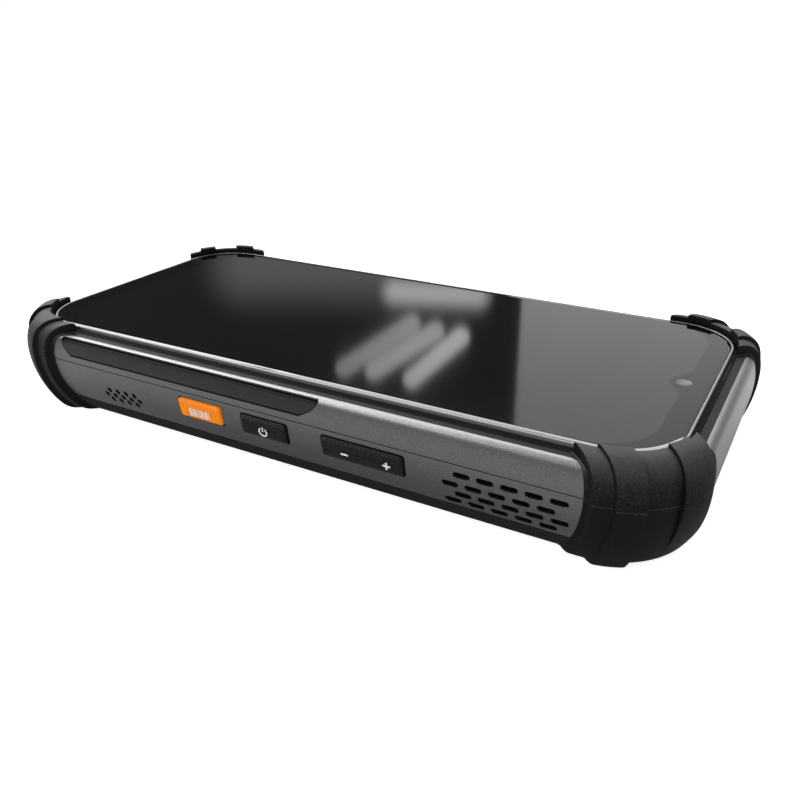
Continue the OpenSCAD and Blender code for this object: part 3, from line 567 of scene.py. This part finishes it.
def make_trim_strips(finish, bare_painted_shade):
    """Smooth strips in the front shell. Their upper edge is drawn near-black, as painted shadow of the gap to the
    shell.
    """
    recess, bevel, depth, painted_shadow_edge = 0.1, 0.1, 1, 0.3
    rows = trim_rows()
    for name, side in (("right", -1), ("left", 1)):
        loops = []
        for i, (z, start, end) in enumerate(rows):
            front = skin_at(z) - recess - (bevel if i in (0, len(rows) - 1) else 0)
            back = skin_at(z) - depth
            loops.append([(x, side * (HALF_W + o), z) for x, o in (
                (start, back), (start, front - bevel), (start + bevel, front),
                (end - bevel, front), (end, front - bevel), (end, back))])
        node = "trim_strip_" + name
        piece = wrap(node + "_dressed", loops)
        # Painted shadow: the top of each strip is near-black, for the shade in the gap above it
        two_finishes(piece, finish, bare_painted_shade, lambda face: face.center.z > TRIM_Z[1] - painted_shadow_edge)
        settle(piece, None, [node])


def leaning_oval(x, z, grow):
    """Microphone hole, 1.44 mm by 1.16 mm, its long way from upper left to lower right"""
    points, half_long, half_short = [], 0.72, 0.58
    for i in range(24):
        a, b = (half_long + grow) * cos(radians(15 * i)), (half_short + grow) * sin(radians(15 * i))
        points.append((x + (a + b) / sqrt(2), z + (b - a) / sqrt(2)))
    return points


def make_rear_shell(finish, bare_painted_shade):
    """The lower wall, painted outside only: the openings and the inside show the unpainted plastic, drawn
    near-black as painted shade so that they look deep
    """
    outer = [point for point in LOWER_WALL if point[1] > COVER_Z + SEAM_ROUND]
    foot = wall_at(COVER_Z)
    section = rounded_start(outer) + [(foot - 0.02, COVER_Z + 0.12), (foot - 0.15, COVER_Z)]
    section += [(wall_at(z, -WALL), z) for z in (COVER_Z, 8, 11, 13, SEAM)]
    piece = sweep_round("rear_shell_dressed", section)
    close_mesh()
    openings = []
    for x, z in SLOT_ROWS:
        openings += [plug("slot", rounded(x + 4.7 * i, z, 3.3, 1, 0.49, (1, 1)), THROUGH) for i in range(5)]
    for column, holes in enumerate(MIC_COLUMNS):
        for k in range(holes):
            down = k + (column == len(MIC_COLUMNS) - 1)
            x, z = [MIC_START[i] + column * MIC_STEP[i] + down * MIC_DOWN[i] for i in (0, 1)]
            openings.append(plug("hole", lambda grow: leaning_oval(x, z, grow), ((-1, 0), (WALL + 0.6, 0))))
    middle_z, height = sum(KEY_Z) / 2, KEY_Z[1] - KEY_Z[0] + 2 * KEY_GAP
    for node, (start, end) in KEYS.items():
        window = rounded((start + end) / 2, middle_z, end - start + 2 * KEY_GAP, height, 0.75)
        for face in ("right", "left") if node == "scan_key_right" else ("right",):
            openings.append(plug("window", window, THROUGH, face))
    cut(piece, join(openings))
    for opening in (
            plug("seat", rounded(1.7, PORT_Z, 22, 7, 1.4), (
                (-1, LIP), (0, LIP), (LIP, 0), (1.6, 0), (1.6, -1), (1.6, -2), (1.6, -3.3)), "bottom"),
            plug("mouth", rounded(0, PORT_Z, 10.4, 4.4, 1.2), (
                (1.4, 0.2), (1.6, 0.2), (1.8, 0), (WALL + 1, 0)), "bottom"),
            plug("tray_seat", rounded(TRAY_X, TRAY_Z, 18.7, 3.5, 1.2), THROUGH, "left")):
        cut(piece, opening)
    # Openings and the inside get the near-black plastic: partly its unpainted colour, partly painted shade
    two_finishes(piece, finish, bare_painted_shade, lambda face: below(wall_at, face))
    settle(piece, None, ["rear_shell"])


CAMERA_WINDOW = (61, 11, 12, 24)
SCAN_WINDOW = (61, -12, 11, 17)
SCREWS = ((66, 26.5), (66, -26.5), (-66, 26.5), (-66, -26.5), (34.3, 33.5), (34.3, -33.5))
SCREW_HEAD_R = 1.9
SCREW_HEAD_Z = 2.4


def make_back_cover(finish):
    """The flat back with its round edge, the seats of both windows and the screw holes"""
    floor_z = BACK + WALL
    outer = [point for point in LOWER_WALL if point[1] < COVER_Z - SEAM_ROUND]
    section = [(-6, floor_z), (wall_at(floor_z + 1, -WALL) - 1, floor_z), (wall_at(COVER_Z, -WALL), COVER_Z),
               (wall_at(COVER_Z) - 0.2, COVER_Z), (wall_at(COVER_Z) - 0.05, COVER_Z - 0.1)]
    piece = sweep_round("back_cover_dressed", section + outer + [(-6, BACK)], closed=False)
    close_mesh()
    openings = []
    for x, y, width, length in (CAMERA_WINDOW, SCAN_WINDOW):
        levels = ((0, LIP), (BACK, LIP), (BACK + LIP, 0), (BACK + 1, 0))
        openings.append(flat_plug("seat", x, y, width + 0.2, length + 0.2, 2.6, levels))
    for x, y in SCREWS:
        r = SCREW_HEAD_R + 0.15
        levels = [(r + LIP, 0), (r + LIP, BACK), (r, BACK + LIP), (r, SCREW_HEAD_Z)]
        openings.append(turned("screw_hole", x, y, levels, 32))
    cut(piece, join(openings))
    throats = [flat_plug("throat", x, y, width - 2.4, length - 2.4, 1.4, ((BACK, 0), (floor_z + 1, 0)))
               for x, y, width, length in (CAMERA_WINDOW, SCAN_WINDOW)]
    cut(piece, join(throats))
    settle(piece, finish, ["back_cover"])


def make_screws(steel):
    """Six screws, each with a hexagonal recess in its head"""
    screws = []
    top = SCREW_HEAD_Z - 1.1
    for x, y in SCREWS:
        screw = turned("screw", x, y, [
            (0.3, 14.4), (0.95, 13.8), (0.95, SCREW_HEAD_Z), (SCREW_HEAD_R, SCREW_HEAD_Z),
            (SCREW_HEAD_R, top + 0.2), (SCREW_HEAD_R - 0.2, top)], 32)
        cut(screw, turned("drive", x, y, [(0.9, top - 1), (0.9, top + 0.8)], 6))
        screws.append(screw)
    piece = join(screws)
    piece.name = "case_screws_dressed"
    settle(piece, steel, ["case_screws"])


# Keys

KEY_PROUD = 0.7
KNURL_PITCH = 0.73
KNURL_DEPTH = 0.2


def knurl(x, z):
    """Height of the diamonds moulded on the keys"""
    rising, falling = (x + z) / sqrt(2), (x - z) / sqrt(2)
    return KNURL_DEPTH * sqrt(abs(sin(pi * rising / KNURL_PITCH) * sin(pi * falling / KNURL_PITCH)))


def make_key(node, finish):
    start, end = KEYS[node]
    width, height = end - start, KEY_Z[1] - KEY_Z[0]
    pitch = 0.11
    outline = rounded((start + end) / 2, sum(KEY_Z) / 2, width, height, 0.6,
                      (round(width / pitch), round(height / pitch)))
    border = KEY_PROUD - KNURL_DEPTH
    levels = [(2.1, 0), (0.25 - border, 0), (0.12 - border, -0.05), (0.04 - border, -0.14), (-border, -0.25),
              (-border, -0.4)]
    loops = [on_wall(outline(grow), depth, "right") for depth, grow in levels]
    inset = 0.5
    while inset < height / 2 - 0.05:
        loops.append([on_wall([point], -border - knurl(*point), "right")[0] for point in outline(-inset)])
        inset += pitch
    piece = wrap(node + "_dressed", loops)
    if node == "scan_key_right":
        twin = copy_of(piece, "scan_key_left_dressed", 1, -1)
        settle(twin, finish, ["scan_key_left"], "scan_key_left")
    settle(piece, finish, [node], node)


def bar(x, z, width, height):
    return [(x + sx * width / 2, z + sz * height / 2) for sx, sz in QUARTERS]


def make_marks(white):
    """Plain signs on the keys: bars on the scan keys, the common power sign, a minus and a plus"""
    z = sum(KEY_Z) / 2 - 0.5
    scan_x = sum(KEYS["scan_key_right"]) / 2
    bars = [bar(scan_x + x, z, width, 1.9) for x, width in
            ((-2.6, 0.45), (-1.95, 0.25), (-1.3, 0.45), (-0.6, 0.25), (0, 0.25), (0.65, 0.45), (1.35, 0.25),
             (1.95, 0.45), (2.6, 0.25))]
    power_x = sum(KEYS["power_key"]) / 2
    opening = 38
    centre, ends = (power_x, z - 0.1), (90 + opening, 450 - opening)
    ring = arc(centre, 1.13, *ends, 32) + arc(centre, 0.8, *ends[::-1], 32)
    minus_x, plus_x, arm, half = 17.4, 27, 0.84, 0.21
    minus = bar(minus_x, z, 2 * arm, 2 * half)
    plus = [(half, arm), (-half, arm), (-half, half)]
    for _ in range(3):
        plus += [(-y, x) for x, y in plus[-3:]]
    plus = [(plus_x + x, z + y) for x, y in plus]
    for body, slot, shapes in (("scan_key_right", "key_orange", bars),
                               ("power_key", "key_black", [ring, bar(power_x, z + 0.55, 0.29, 1.1)]),
                               ("volume_key", "key_black", [minus, plus])):
        piece = join([plug("mark", lambda grow: shape, ((-0.5, 0), (-KEY_PROUD - 0.03, 0))) for shape in shapes])
        piece.name = body + "_mark"
        if body == "scan_key_right":
            twin = copy_of(piece, "scan_key_left_mark", 1, -1)
            settle(twin, white, body="scan_key_left")
        settle(piece, white, body=body)


# Port cover and card tray

def make_port_cover(rubber):
    cover = plug("port_cover_dressed", rounded(0.1, PORT_Z, 18.2, 6.4, 1.2), (
        (1.5, 0), (0.3, 0), (0.1, -0.06), (0, -0.25), (0, -1), (0, -1.1), (0.1, -1.25), (0.1, -2),
        (0.1, -3)), "bottom")
    tongue = rounded(0.15, PORT_Z, 8.7, 3.7, 1.2, (1, 1))
    nib = wrap("nib", [[(-HALF_L - o, y, z) for y, z in tongue(grow)]
                       for o, grow in ((2.1, -0.3), (2.4, 0), (4.6, 0))])
    bead = turned("bead", -HALF_L - 5.5, 9.2, [(0.3, 8.6), (0.5, 8.8), (0.5, 12.6), (0.3, 12.8)], 24)
    ridges = [plug("ridge", rounded(-6.9, PORT_Z + z, 1.8, 0.5, 0.24, (1, 1)), (
        (0.5, 0), (-0.1, 0), (-0.18, -0.1)), "bottom") for z in (-1.1, 0, 1.1)]
    cover = join([cover, nib, bead] + ridges)
    settle(cover, rubber, ["port_cover"], "port_cover")
    strap = plug("port_cover_strap_dressed", rounded(11.25, PORT_Z, 2.7, 4.6, 0.8), (
        (1.6, 0), (0.25, 0), (0.08, -0.08), (0, -0.25), (0, -1.2)), "bottom")
    settle(strap, rubber, ["port_cover_strap"])


def make_card_tray(plastic):
    seat_y = HALF_W + 3.9
    length = 25
    low, high = TRAY_Z - 0.7, TRAY_Z + 0.7
    carrier = flat_plug("card_tray_dressed", TRAY_X, seat_y - length / 2 + 0.15, 15.4, length + 0.3, 0.8, (
        (low, -0.1), (low + 0.1, 0), (high - 0.1, 0), (high, -0.1)))
    wall, card = 1.2, 9.2
    pocket_y = seat_y - length + wall + card / 2
    pockets = [flat_plug("pocket", TRAY_X, pocket_y + (card + wall) * k, 12.6, card, 0.8,
                         ((TRAY_Z - 0.2, 0), (high + 1, 0))) for k in (0, 1)]
    cut(carrier, join(pockets))
    face = plug("face", rounded(TRAY_X, TRAY_Z, 18.4, 3.2, 1.1), (
        (1.3, 0), (0.15, 0), (0.05, -0.05), (0, -0.15), (0, -0.6), (0, -1.1), (0, -1.5)), "left")
    cut(face, plug("pin_hole", rounded(TRAY_X + 7, TRAY_Z, 0.9, 0.9, 0.44, (1, 1)), (
        (-1, 0.08), (0, 0.08), (0.08, 0), (1, 0)), "left"))
    cut(carrier, face, "UNION")
    settle(carrier, plastic, ["card_tray"], "card_tray")


# Windows in the back

def make_window(node, place, openings, glass):
    """Window of a seat in the back, with round openings (y, radius)"""
    x, y, width, length = place
    levels = ((BACK, -0.15), (BACK + 0.15, 0), (BACK + 1, 0))
    window = flat_plug(node + "_dressed", x, y, width, length, 2.5, levels)
    for opening_y, radius in openings:
        cut(window, turned("opening", x, opening_y, [(radius, 0), (radius, BACK + 2)]))
    settle(window, glass, [node])


def make_back_windows(glass, red_glass, lens_black, ring_metal, clear):
    """Camera window with its ring, lens and flash, and the scan window"""
    x, y = CAMERA_WINDOW[:2]
    lens_y, flash_y = y + 5, y - 6
    make_window("camera_window", CAMERA_WINDOW, ((lens_y, 3.4), (flash_y, 1.9)), glass)
    for name, place, finish, slot, profile in (
            ("rear_camera_ring", lens_y, ring_metal, "lens_black", [
                (3.35, 1), (3.35, 0.15), (3.2, 0.05), (2.7, 0.05), (2.6, 0.15), (2, 0.6), (2, 1)]),
            ("rear_camera_lens", lens_y, lens_black, "lens_black", [
                (1.95, 1), (1.95, 0.7), (1.6, 0.55), (1.1, 0.42), (0.6, 0.35), (0.1, 0.33)]),
            ("flash_cover", flash_y, clear, "flash_clear", [
                (1.85, 1), (1.85, 0.2), (1.7, 0.1), (1.4, 0.12), (1.35, 0.2), (1, 0.12), (0.95, 0.2),
                (0.6, 0.12), (0.55, 0.2), (0.1, 0.12)])):
        settle(turned(name, x, place, profile, base=BACK), finish)
    make_window("scan_window", SCAN_WINDOW, (), red_glass)


# Corner guards

def corner_point(d, o, z):
    """Where the upright plane x - y = d meets the outline grown by o, in the +X +Y corner"""
    if d <= STRAIGHT_X - HALF_W - o:
        return d + HALF_W + o, HALF_W + o, z
    if d >= HALF_L + o - STRAIGHT_Y:
        return HALF_L + o, HALF_L + o - d, z
    radius = CORNER + o
    angle = acos((d - STRAIGHT_X + STRAIGHT_Y) / (radius * sqrt(2))) - pi / 4
    return STRAIGHT_X + radius * cos(angle), STRAIGHT_Y + radius * sin(angle), z


# The guard's three layers: the film on the shell, the main layer and the ribs
LAYERS = [dict(zip(("grow", "top", "lip", "bottom", "edge"), values)) for values in (
    (0.15, SHELL_TOP + 0.15, 0.05, BACK - 0.15, 2.15),
    (1.35, GLASS_TOP + 1.1, 0.3, BACK - 0.5, 3),
    (2.35, GLASS_TOP + 1.9, 0.35, 0, 3.5))]
FILM_SPAN = (24.6, 57.2)
GUARD_SPAN = (25.3, 56.6)
RIB_SPANS = ((29.4, 36.2), (45.4, 51.9))
FADE_Z = 4.6
SUNK = 0.35


def front_layer(layer):
    """Section above the seam. From the lip beside the glass it falls away in one curve to the wall."""
    lip_r, lip_o = layer["lip"], GASKET - 0.12
    radius, rise = UPPER_R + layer["grow"], layer["top"] - SEAM
    reach = lip_o + lip_r - WAIST + UPPER_R
    shoulder = (radius ** 2 - reach ** 2 - rise ** 2) / (2 * (radius - rise))
    if layer is LAYERS[0]:
        shoulder = SHOULDER_R + layer["grow"]
    outer = rounded_start(wall_section(1, layer["grow"], layer["top"], shoulder, (9, 16)))
    inner = wall_section(1, -SUNK, SHELL_TOP - SUNK, SHOULDER_R - SUNK, (8, 8))
    lip = arc((lip_o + lip_r, layer["top"] - lip_r), lip_r, 90, 180, 4)
    return outer + lip + [(GASKET, SHELL_TOP - SUNK)] + inner[::-1]


def rear_layer(layer, fading=0):
    """Section below the seam. A fading rib stands out at the seam and sinks into its layer before the back."""
    inward, tip = 5, 0.2
    outer = rounded_start(wall_section(-1, layer["grow"], layer["bottom"], layer["edge"], (12, 10)))
    outer = [(o + fading * max(0, (z - FADE_Z) / (SEAM - FADE_Z)), z) for o, z in outer]
    inner = wall_section(-1, -SUNK, BACK + SUNK, BACK_EDGE_R - SUNK, (8, 8))
    end = arc((tip - inward, layer["bottom"] + tip), tip, -90, -180, 3)
    return outer + end + [(-inward, BACK + SUNK)] + inner[::-1]


def guard_columns():
    """Pairs (d, level) along the guard. Level 0 is the film, 1 the main layer and 2 a rib."""
    ease, pitch = 0.14, 0.8
    main_depth, rib_depth = [LAYERS[i + 1]["grow"] - LAYERS[i]["grow"] for i in (0, 1)]

    def climb(d, low, depth, sense):
        """Round edge of a step at d, up with sense 1 or down with -1"""
        turns = [radians(18 * i) for i in range(6)]
        return [(d + sense * sqrt(2) * ease * (1 - cos(a)), low + 1 - ease / depth * (1 - sin(a)))
                for a in turns][::sense]

    def run(start, end, level):
        """Columns at one level between two places"""
        count = max(2, int((end - start) / pitch))
        return [(start + (end - start) * i / count, level) for i in range(1, count)]

    main_up = climb(GUARD_SPAN[0], 0, main_depth, 1)
    main_down = climb(GUARD_SPAN[1], 0, main_depth, -1)
    columns = [(FILM_SPAN[0], 0), (GUARD_SPAN[0], 0)] + main_up
    here = main_up[-1][0]
    for start, end in RIB_SPANS:
        up, down = climb(start, 1, rib_depth, 1), climb(end, 1, rib_depth, -1)
        columns += run(here, start, 1) + [(start, 1)] + up + run(up[-1][0], down[0][0], 2) + down + [(end, 1)]
        here = end
    return columns + run(here, main_down[0][0], 1) + main_down + [(GUARD_SPAN[1], 0), (FILM_SPAN[1], 0)]


def make_guard(half, layer_section):
    """Front or rear half of the guard on the +X +Y corner. Only the short rib of the rear half fades."""
    long_rib = [layer_section(layer) for layer in LAYERS]
    short_rib = long_rib
    if half == "rear":
        short_rib = long_rib[:2] + [rear_layer(LAYERS[1], LAYERS[2]["grow"] - LAYERS[1]["grow"])]
    loops = []
    for d, level in guard_columns():
        sections = long_rib if d < sum(GUARD_SPAN) / 2 else short_rib
        base = min(int(level), 1)
        part = level - base
        loops.append([corner_point(d, o0 + (o1 - o0) * part, z0 + (z1 - z0) * part)
                      for (o0, z0), (o1, z1) in zip(sections[base], sections[base + 1])])
    return wrap("guard_" + half, loops)


def make_guards(rubber):
    for half, layer_section in (("front", front_layer), ("rear", rear_layer)):
        model = make_guard(half, layer_section)
        for end, x in (("top", 1), ("bottom", -1)):
            for side, y in (("left", 1), ("right", -1)):
                node = f"guard_{end}_{side}_{half}"
                twin = copy_of(model, node + "_dressed", x, y)
                settle(twin, rubber, [node])
        bpy.data.objects.remove(model)


# Stage and light

def seen_directly(tree, gloss=1):
    """1 for rays that come straight from the camera or through glass. Gloss has its own share."""
    rays = add(tree, "LightPath", {}).outputs
    mirrored = compute(tree, "MULTIPLY", rays["Is Glossy Ray"], gloss)
    first = compute(tree, "MAXIMUM", rays["Is Camera Ray"], mirrored)
    return compute(tree, "MAXIMUM", first, rays["Is Transmission Ray"])


WORLD_LIGHT = 0.3
FLOOR_COLOUR = "#dadada"


def stage_plane(name, material_name, corners):
    """A plane of the stage between four corners, and the empty node tree of its material"""
    bpy.ops.object.select_all(action="DESELECT")
    bpy.ops.mesh.primitive_plane_add(size=1)
    plane = bpy.context.object
    plane.name = name
    for point, place in zip(plane.data.vertices, corners):
        point.co = place
    material = bpy.data.materials.new(material_name)
    material.use_nodes = True
    material.node_tree.nodes.clear()
    plane.data.materials.append(material)
    return plane, material.node_tree


def flat_corners(half_x, half_y):
    return [(x * half_x, y * half_y, 0) for y in (-1, 1) for x in (-1, 1)]


def make_floor():
    """Pale floor. Where it is seen directly it glows just enough to reach white, and keeps the shadow."""
    half_size, below_feet = 30, 0.02
    floor, tree = stage_plane("floor", "pale_floor", flat_corners(half_size, half_size))
    floor.location.z = -below_feet * MM
    # What gloss sees of the floor is painted darker near the tablet, by distance from its middle: painted shade
    # standing in for the tablet's own shade.
    # Its start and end are multiples of the tablet's half length and half width.
    place = add(tree, "TexCoord", {}).outputs["Object"]
    half_x, half_y = 0.085, 0.042
    shade_start, shade_end = 0.8, 2.1
    sized = add(tree, "VectorMath", {0: place, 1: (1 / half_x, 1 / half_y, 0)}, operation="MULTIPLY").outputs[0]
    away = add(tree, "VectorMath", {0: sized}, operation="LENGTH").outputs["Value"]
    share = add(tree, "MapRange", {"Value": away, "From Min": shade_start, "From Max": shade_end}).outputs["Result"]
    matt = add(tree, "BsdfDiffuse", {"Color": paint(FLOOR_COLOUR)})
    just_white = 1.02
    glow = add(tree, "Emission", {"Strength": just_white - WORLD_LIGHT * paint(FLOOR_COLOUR)[0]})
    both = add(tree, "AddShader", {0: matt.outputs[0], 1: glow.outputs[0]})
    mix = add(tree, "MixShader", {0: seen_directly(tree, share), 1: matt.outputs[0], 2: both.outputs[0]})
    add(tree, "OutputMaterial", {"Surface": mix.outputs[0]})


def set_world():
    world = bpy.data.worlds.new("studio")
    bpy.context.scene.world = world
    world.use_nodes = True
    tree = world.node_tree
    tree.nodes.clear()
    dim = add(tree, "Background", {"Color": paint("#ffffff"), "Strength": WORLD_LIGHT})
    white = add(tree, "Background", {"Color": paint("#ffffff"), "Strength": 1})
    mix = add(tree, "MixShader", {0: seen_directly(tree), 1: dim.outputs[0], 2: white.outputs[0]})
    add(tree, "OutputWorld", {"Surface": mix.outputs[0]})


def between(start, end):
    """Length of a lamp between two places, and its placement, faced to the tablet"""
    start, end = Vector(start), Vector(end)
    middle, along = (start + end) / 2, (end - start).normalized()
    across = middle.cross(along).normalized()
    turn = Matrix((along, across, along.cross(across))).transposed().to_4x4()
    return (end - start).length, Matrix.Translation(middle) @ turn


def softbox(name, start, end, depth, strength, gloss=True, matt=True):
    """A rectangular lamp between two places in metres. A strength of 1 is white."""
    light = bpy.data.lights.new(name, "AREA")
    light.shape = "RECTANGLE"
    light.size, placement = between(start, end)
    light.size_y = depth
    light.energy = strength * pi * light.size * depth
    lamp = bpy.data.objects.new(name, light)
    lamp.matrix_world = placement
    lamp.visible_camera = False
    lamp.visible_diffuse = matt
    lamp.visible_glossy = gloss
    bpy.context.scene.collection.objects.link(lamp)


def round_lamp(name, start, end, depth, strength, core):
    """A lamp with round ends that only gloss sees. It fades outside the core, a share of its half depth."""
    length, placement = between(start, end)
    half = length / 2
    lamp, tree = stage_plane(name, name + "_glow", flat_corners(half + depth / 2, depth / 2))
    lamp.matrix_world = placement
    lamp.visible_camera = lamp.visible_diffuse = lamp.visible_shadow = False
    place = add(tree, "SeparateXYZ", {"Vector": add(tree, "TexCoord", {}).outputs["Object"]}).outputs
    beyond = compute(tree, "SUBTRACT", compute(tree, "ABSOLUTE", place["X"]), half)
    beyond = compute(tree, "MAXIMUM", beyond, 0)
    away = add(tree, "CombineXYZ", {"X": beyond, "Y": place["Y"]}).outputs[0]
    away = add(tree, "VectorMath", {0: away}, operation="LENGTH").outputs["Value"]
    share = add(tree, "MapRange", {"Value": away, "From Min": core * depth / 2, "From Max": depth / 2,
                                   "To Min": 1, "To Max": 0}, interpolation_type="SMOOTHSTEP").outputs["Result"]
    glow = add(tree, "Emission", {"Strength": strength})
    clear = add(tree, "BsdfTransparent", {})
    mix = add(tree, "MixShader", {0: share, 1: clear.outputs[0], 2: glow.outputs[0]})
    add(tree, "OutputMaterial", {"Surface": mix.outputs[0]})


def make_flag():
    """Dark card that the left part of the screen mirrors. Only gloss sees it."""
    corner = Vector((-0.435, 1.26, 0))
    leftward = Vector((-0.8702, -0.4927, 0)) * 2.2
    upward = Vector((0, 0, 1.6))
    corners = (corner, corner + leftward, corner + upward, corner + leftward + upward)
    flag, tree = stage_plane("dark_flag", "dark_card", corners)
    glow = add(tree, "Emission", {"Color": paint("#ffffff"), "Strength": 0.05})
    add(tree, "OutputMaterial", {"Surface": glow.outputs[0]})
    flag.visible_camera = flag.visible_diffuse = flag.visible_shadow = flag.visible_transmission = False


bpy.context.scene.view_settings.view_transform = "Standard"
set_camera()
set_world()
make_floor()
make_flag()
softbox("overhead_softbox", (-0.65, 0.35, 0.85), (0.35, 0.35, 0.85), 0.6, 2.8, gloss=False)
softbox("front_softbox", (-0.5, -0.75, 0.5), (0.5, -0.75, 0.5), 0.5, 2.6, gloss=False)
softbox("left_softbox", (-1, -0.2, 0.4), (-1, 0.6, 0.4), 0.5, 4, gloss=False)
softbox("top_softbox", (-1.1, 0, 0.9), (-0.25, 0, 0.9), 1.1, 6.5, matt=False)
softbox("back_softbox", (-0.9, 0.8, 0.95), (0.4, 0.8, 0.95), 0.75, 7.5, matt=False)
softbox("far_left_softbox", (-2.3, 0.35, 0.95), (-0.8, 0.35, 0.95), 1.3, 9, matt=False)
round_lamp("strip_lamp_1", (-0.629, 0.926, 0.516), (-0.526, 0.984, 0.434), 0.038, 1.3, 0.6)
round_lamp("strip_lamp_2", (-0.584, 0.951, 0.522), (-0.491, 1.003, 0.448), 0.038, 1.7, 0.6)
round_lamp("strip_lamp_3", (-0.527, 0.984, 0.538), (-0.453, 1.025, 0.459), 0.038, 2.3, 0.6)
round_lamp("far_lamp", (-0.55, 0.97, 0.378), (-0.43, 1.038, 0.386), 0.066, 1.8, 0)
round_lamp("far_haze", (-0.84, 0.94, 0.37), (-0.53, 1.12, 0.38), 0.2, 0.35, 0)

grey_paint = sprayed_paint()
rubber = moulded_rubber()
# Eroded mould texture: an even, dull black
black_abs = plain_finish("textured_abs", "#222223", "#2a2a2b", 0.4, 0.02, Roughness=0.7, specular=0.03)
# Unpainted inside of the shell, drawn darker than the other black plastics as painted shade so that the openings
# look deep. Along the trim strips' upper edge it is painted shadow.
bare_abs_painted_shade = plain_finish("bare_abs_painted_shade", "#0e0e0f", "#131314", Roughness=0.7, specular=0.1)
# Smooth inlay: a soft sheen on charcoal
trim_abs = plain_finish("satin_charcoal_abs", "#252628", "#2b2c2e", 0.4, 0.004, Roughness=0.38, specular=0.13)
# Blasted and anodised: an even grey line of metal round the glass
rim_metal = plain_finish("satin_anodised_aluminium", "#525355", "#5c5d5f", 0.2, 0.004, Metallic=1, Roughness=0.42)
# Soft seal: flat black between two brighter edges
seal_rubber = plain_finish("silicone_gasket", "#121213", "#171718", 0.4, 0.01, Roughness=0.8, specular=0.05)
# Polished glass with the dark screen bonded to it: black, with slightly soft mirror images
glass_panel = plain_finish("glass_over_panel", "#050506", "#060607", height=0, Roughness=0.065, IOR=1.62)
# The same glass over its printed border, which mirrors a little less
glass_ink = plain_finish("glass_over_ink", "#020203", "#030304", height=0, Roughness=0.065, IOR=1.46)
# Through-coloured keys: saturated orange and matt black, with bright moulded edges
key_orange = plain_finish("orange_key_abs", "#ff8a10", "#ff931c", Roughness=0.45, specular=0.15)
key_black = plain_finish("black_key_abs", "#131314", "#19191a", Roughness=0.42, specular=0.1)
# Thick pad print: flat and opaque white
mark_white = plain_finish("white_pad_print", "#e4e4e4", "#efefef", Roughness=0.5)
# Turned ring of a camera: a soft grey round the dark lens
lens_metal = plain_finish("turned_aluminium", "#4a4b4d", "#525355", 0.2, 0.002, Metallic=0.3, Roughness=0.5,
                          specular=0.2)
# Zinc plating: a cool grey shine on the screw heads
steel = plain_finish("zinc_plated_steel", "#8f9295", "#a4a7aa", Metallic=1, Roughness=0.35)
# Painted plastic tray in the colour of the shell
tray_paint = plain_finish("painted_tray", "#4f5052", "#616264", Metallic=0.7, Roughness=0.4)
# Dark glass over the camera: nearly black, with sharp mirror images
window_glass = plain_finish("tinted_window_glass", "#040405", "#050506", height=0, Roughness=0.04)
# Red filter over the scan engine: black with a red cast
scan_glass = plain_finish("red_filter_glass", "#2a0508", "#33070b", height=0, Roughness=0.05)
# Coated lens: black with a violet cast
lens_black = plain_finish("coated_lens", "#07060c", "#0b0913", height=0, Roughness=0.03)
# Ribbed clear plastic over the flash diode: pale yellow
flash_clear = plain_finish("clear_flash_lens", "#e6dfb8", "#f0ebcb", Roughness=0.15)
# Acoustic cloth of black polyester, its threads drawn three times too coarse
acoustic_cloth = woven("acoustic_cloth", "#060606", "#141415", 0.25, Roughness=0.8, specular=0.15)

for nodes, finish in (
        # As cast: light grey with a fine mottle
        (("mid_frame",), plain_finish(
            "cast_magnesium", "#a3a5a8", "#b5b7ba", 0.8, 0.03, Metallic=1, Roughness=0.5)),
        # Back of the screen: black film
        (("display_panel",), plain_finish("black_polyester_film", "#0b0b0c", "#101011", 0.5, 0.002, Roughness=0.3)),
        # Sealing cord: dull rust red
        (("shell_seal",), plain_finish("red_silicone_cord", "#a53c1e", "#b3472a", 0.5, 0.02, Roughness=0.6)),
        # Solder mask on a fibreglass board: semi-gloss green
        (("key_board_right", "key_board_left", "usb_board", "main_board"), plain_finish(
            "green_solder_mask", "#15402c", "#1c5038", 0.6, 0.004, Roughness=0.35)),
        # Stamped and tinned sheet: bright, slightly wavy grey
        (("usb_socket", "card_socket", "shield_cans", "vibration_motor"), plain_finish(
            "tinned_steel", "#b2b4b6", "#c0c2c4", 3, 0.02, Metallic=1, Roughness=0.32)),
        # Laminated pouch: dull silver grey
        (("battery",), plain_finish("battery_pouch", "#74777b", "#84878b", 2, 0.03, Metallic=0.7, Roughness=0.45)),
        # Wire insulation: glossy red
        (("battery_lead",), plain_finish("red_pvc", "#b01c18", "#bd2620", 0.5, 0.004, Roughness=0.35)),
        # Housings of small parts: dull black
        (("key_switches", "loudspeaker", "microphone", "earpiece", "front_camera", "rear_camera", "scan_engine"),
         plain_finish("glass_filled_nylon", "#131314", "#1b1b1c", 0.3, 0.01, Roughness=0.55)),
        # Printed film over copper: amber brown
        (("display_flex", "board_flex", "antenna_flex"), plain_finish(
            "polyimide_film", "#a5631c", "#b87428", 0.5, 0.003, Roughness=0.3)),
        (("speaker_mesh", "mic_mesh"), acoustic_cloth),
        (("flash_lens",), flash_clear)):
    for node in nodes:
        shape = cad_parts[node].data
        shape.materials.clear()
        shape.materials.append(finish)

make_glass(glass_panel, glass_ink)
make_camera_lens(lens_metal)
make_rim(rim_metal)
make_gasket(seal_rubber, acoustic_cloth)
make_front_shell(grey_paint, bare_abs_painted_shade)
make_trim_strips(trim_abs, bare_abs_painted_shade)
make_rear_shell(grey_paint, bare_abs_painted_shade)
make_back_cover(black_abs)
make_screws(steel)
make_key("scan_key_right", key_orange)
for node in ("power_key", "volume_key"):
    make_key(node, key_black)
make_marks(mark_white)
make_port_cover(rubber)
make_card_tray(tray_paint)
make_back_windows(window_glass, scan_glass, lens_black, lens_metal, flash_clear)
make_guards(rubber)
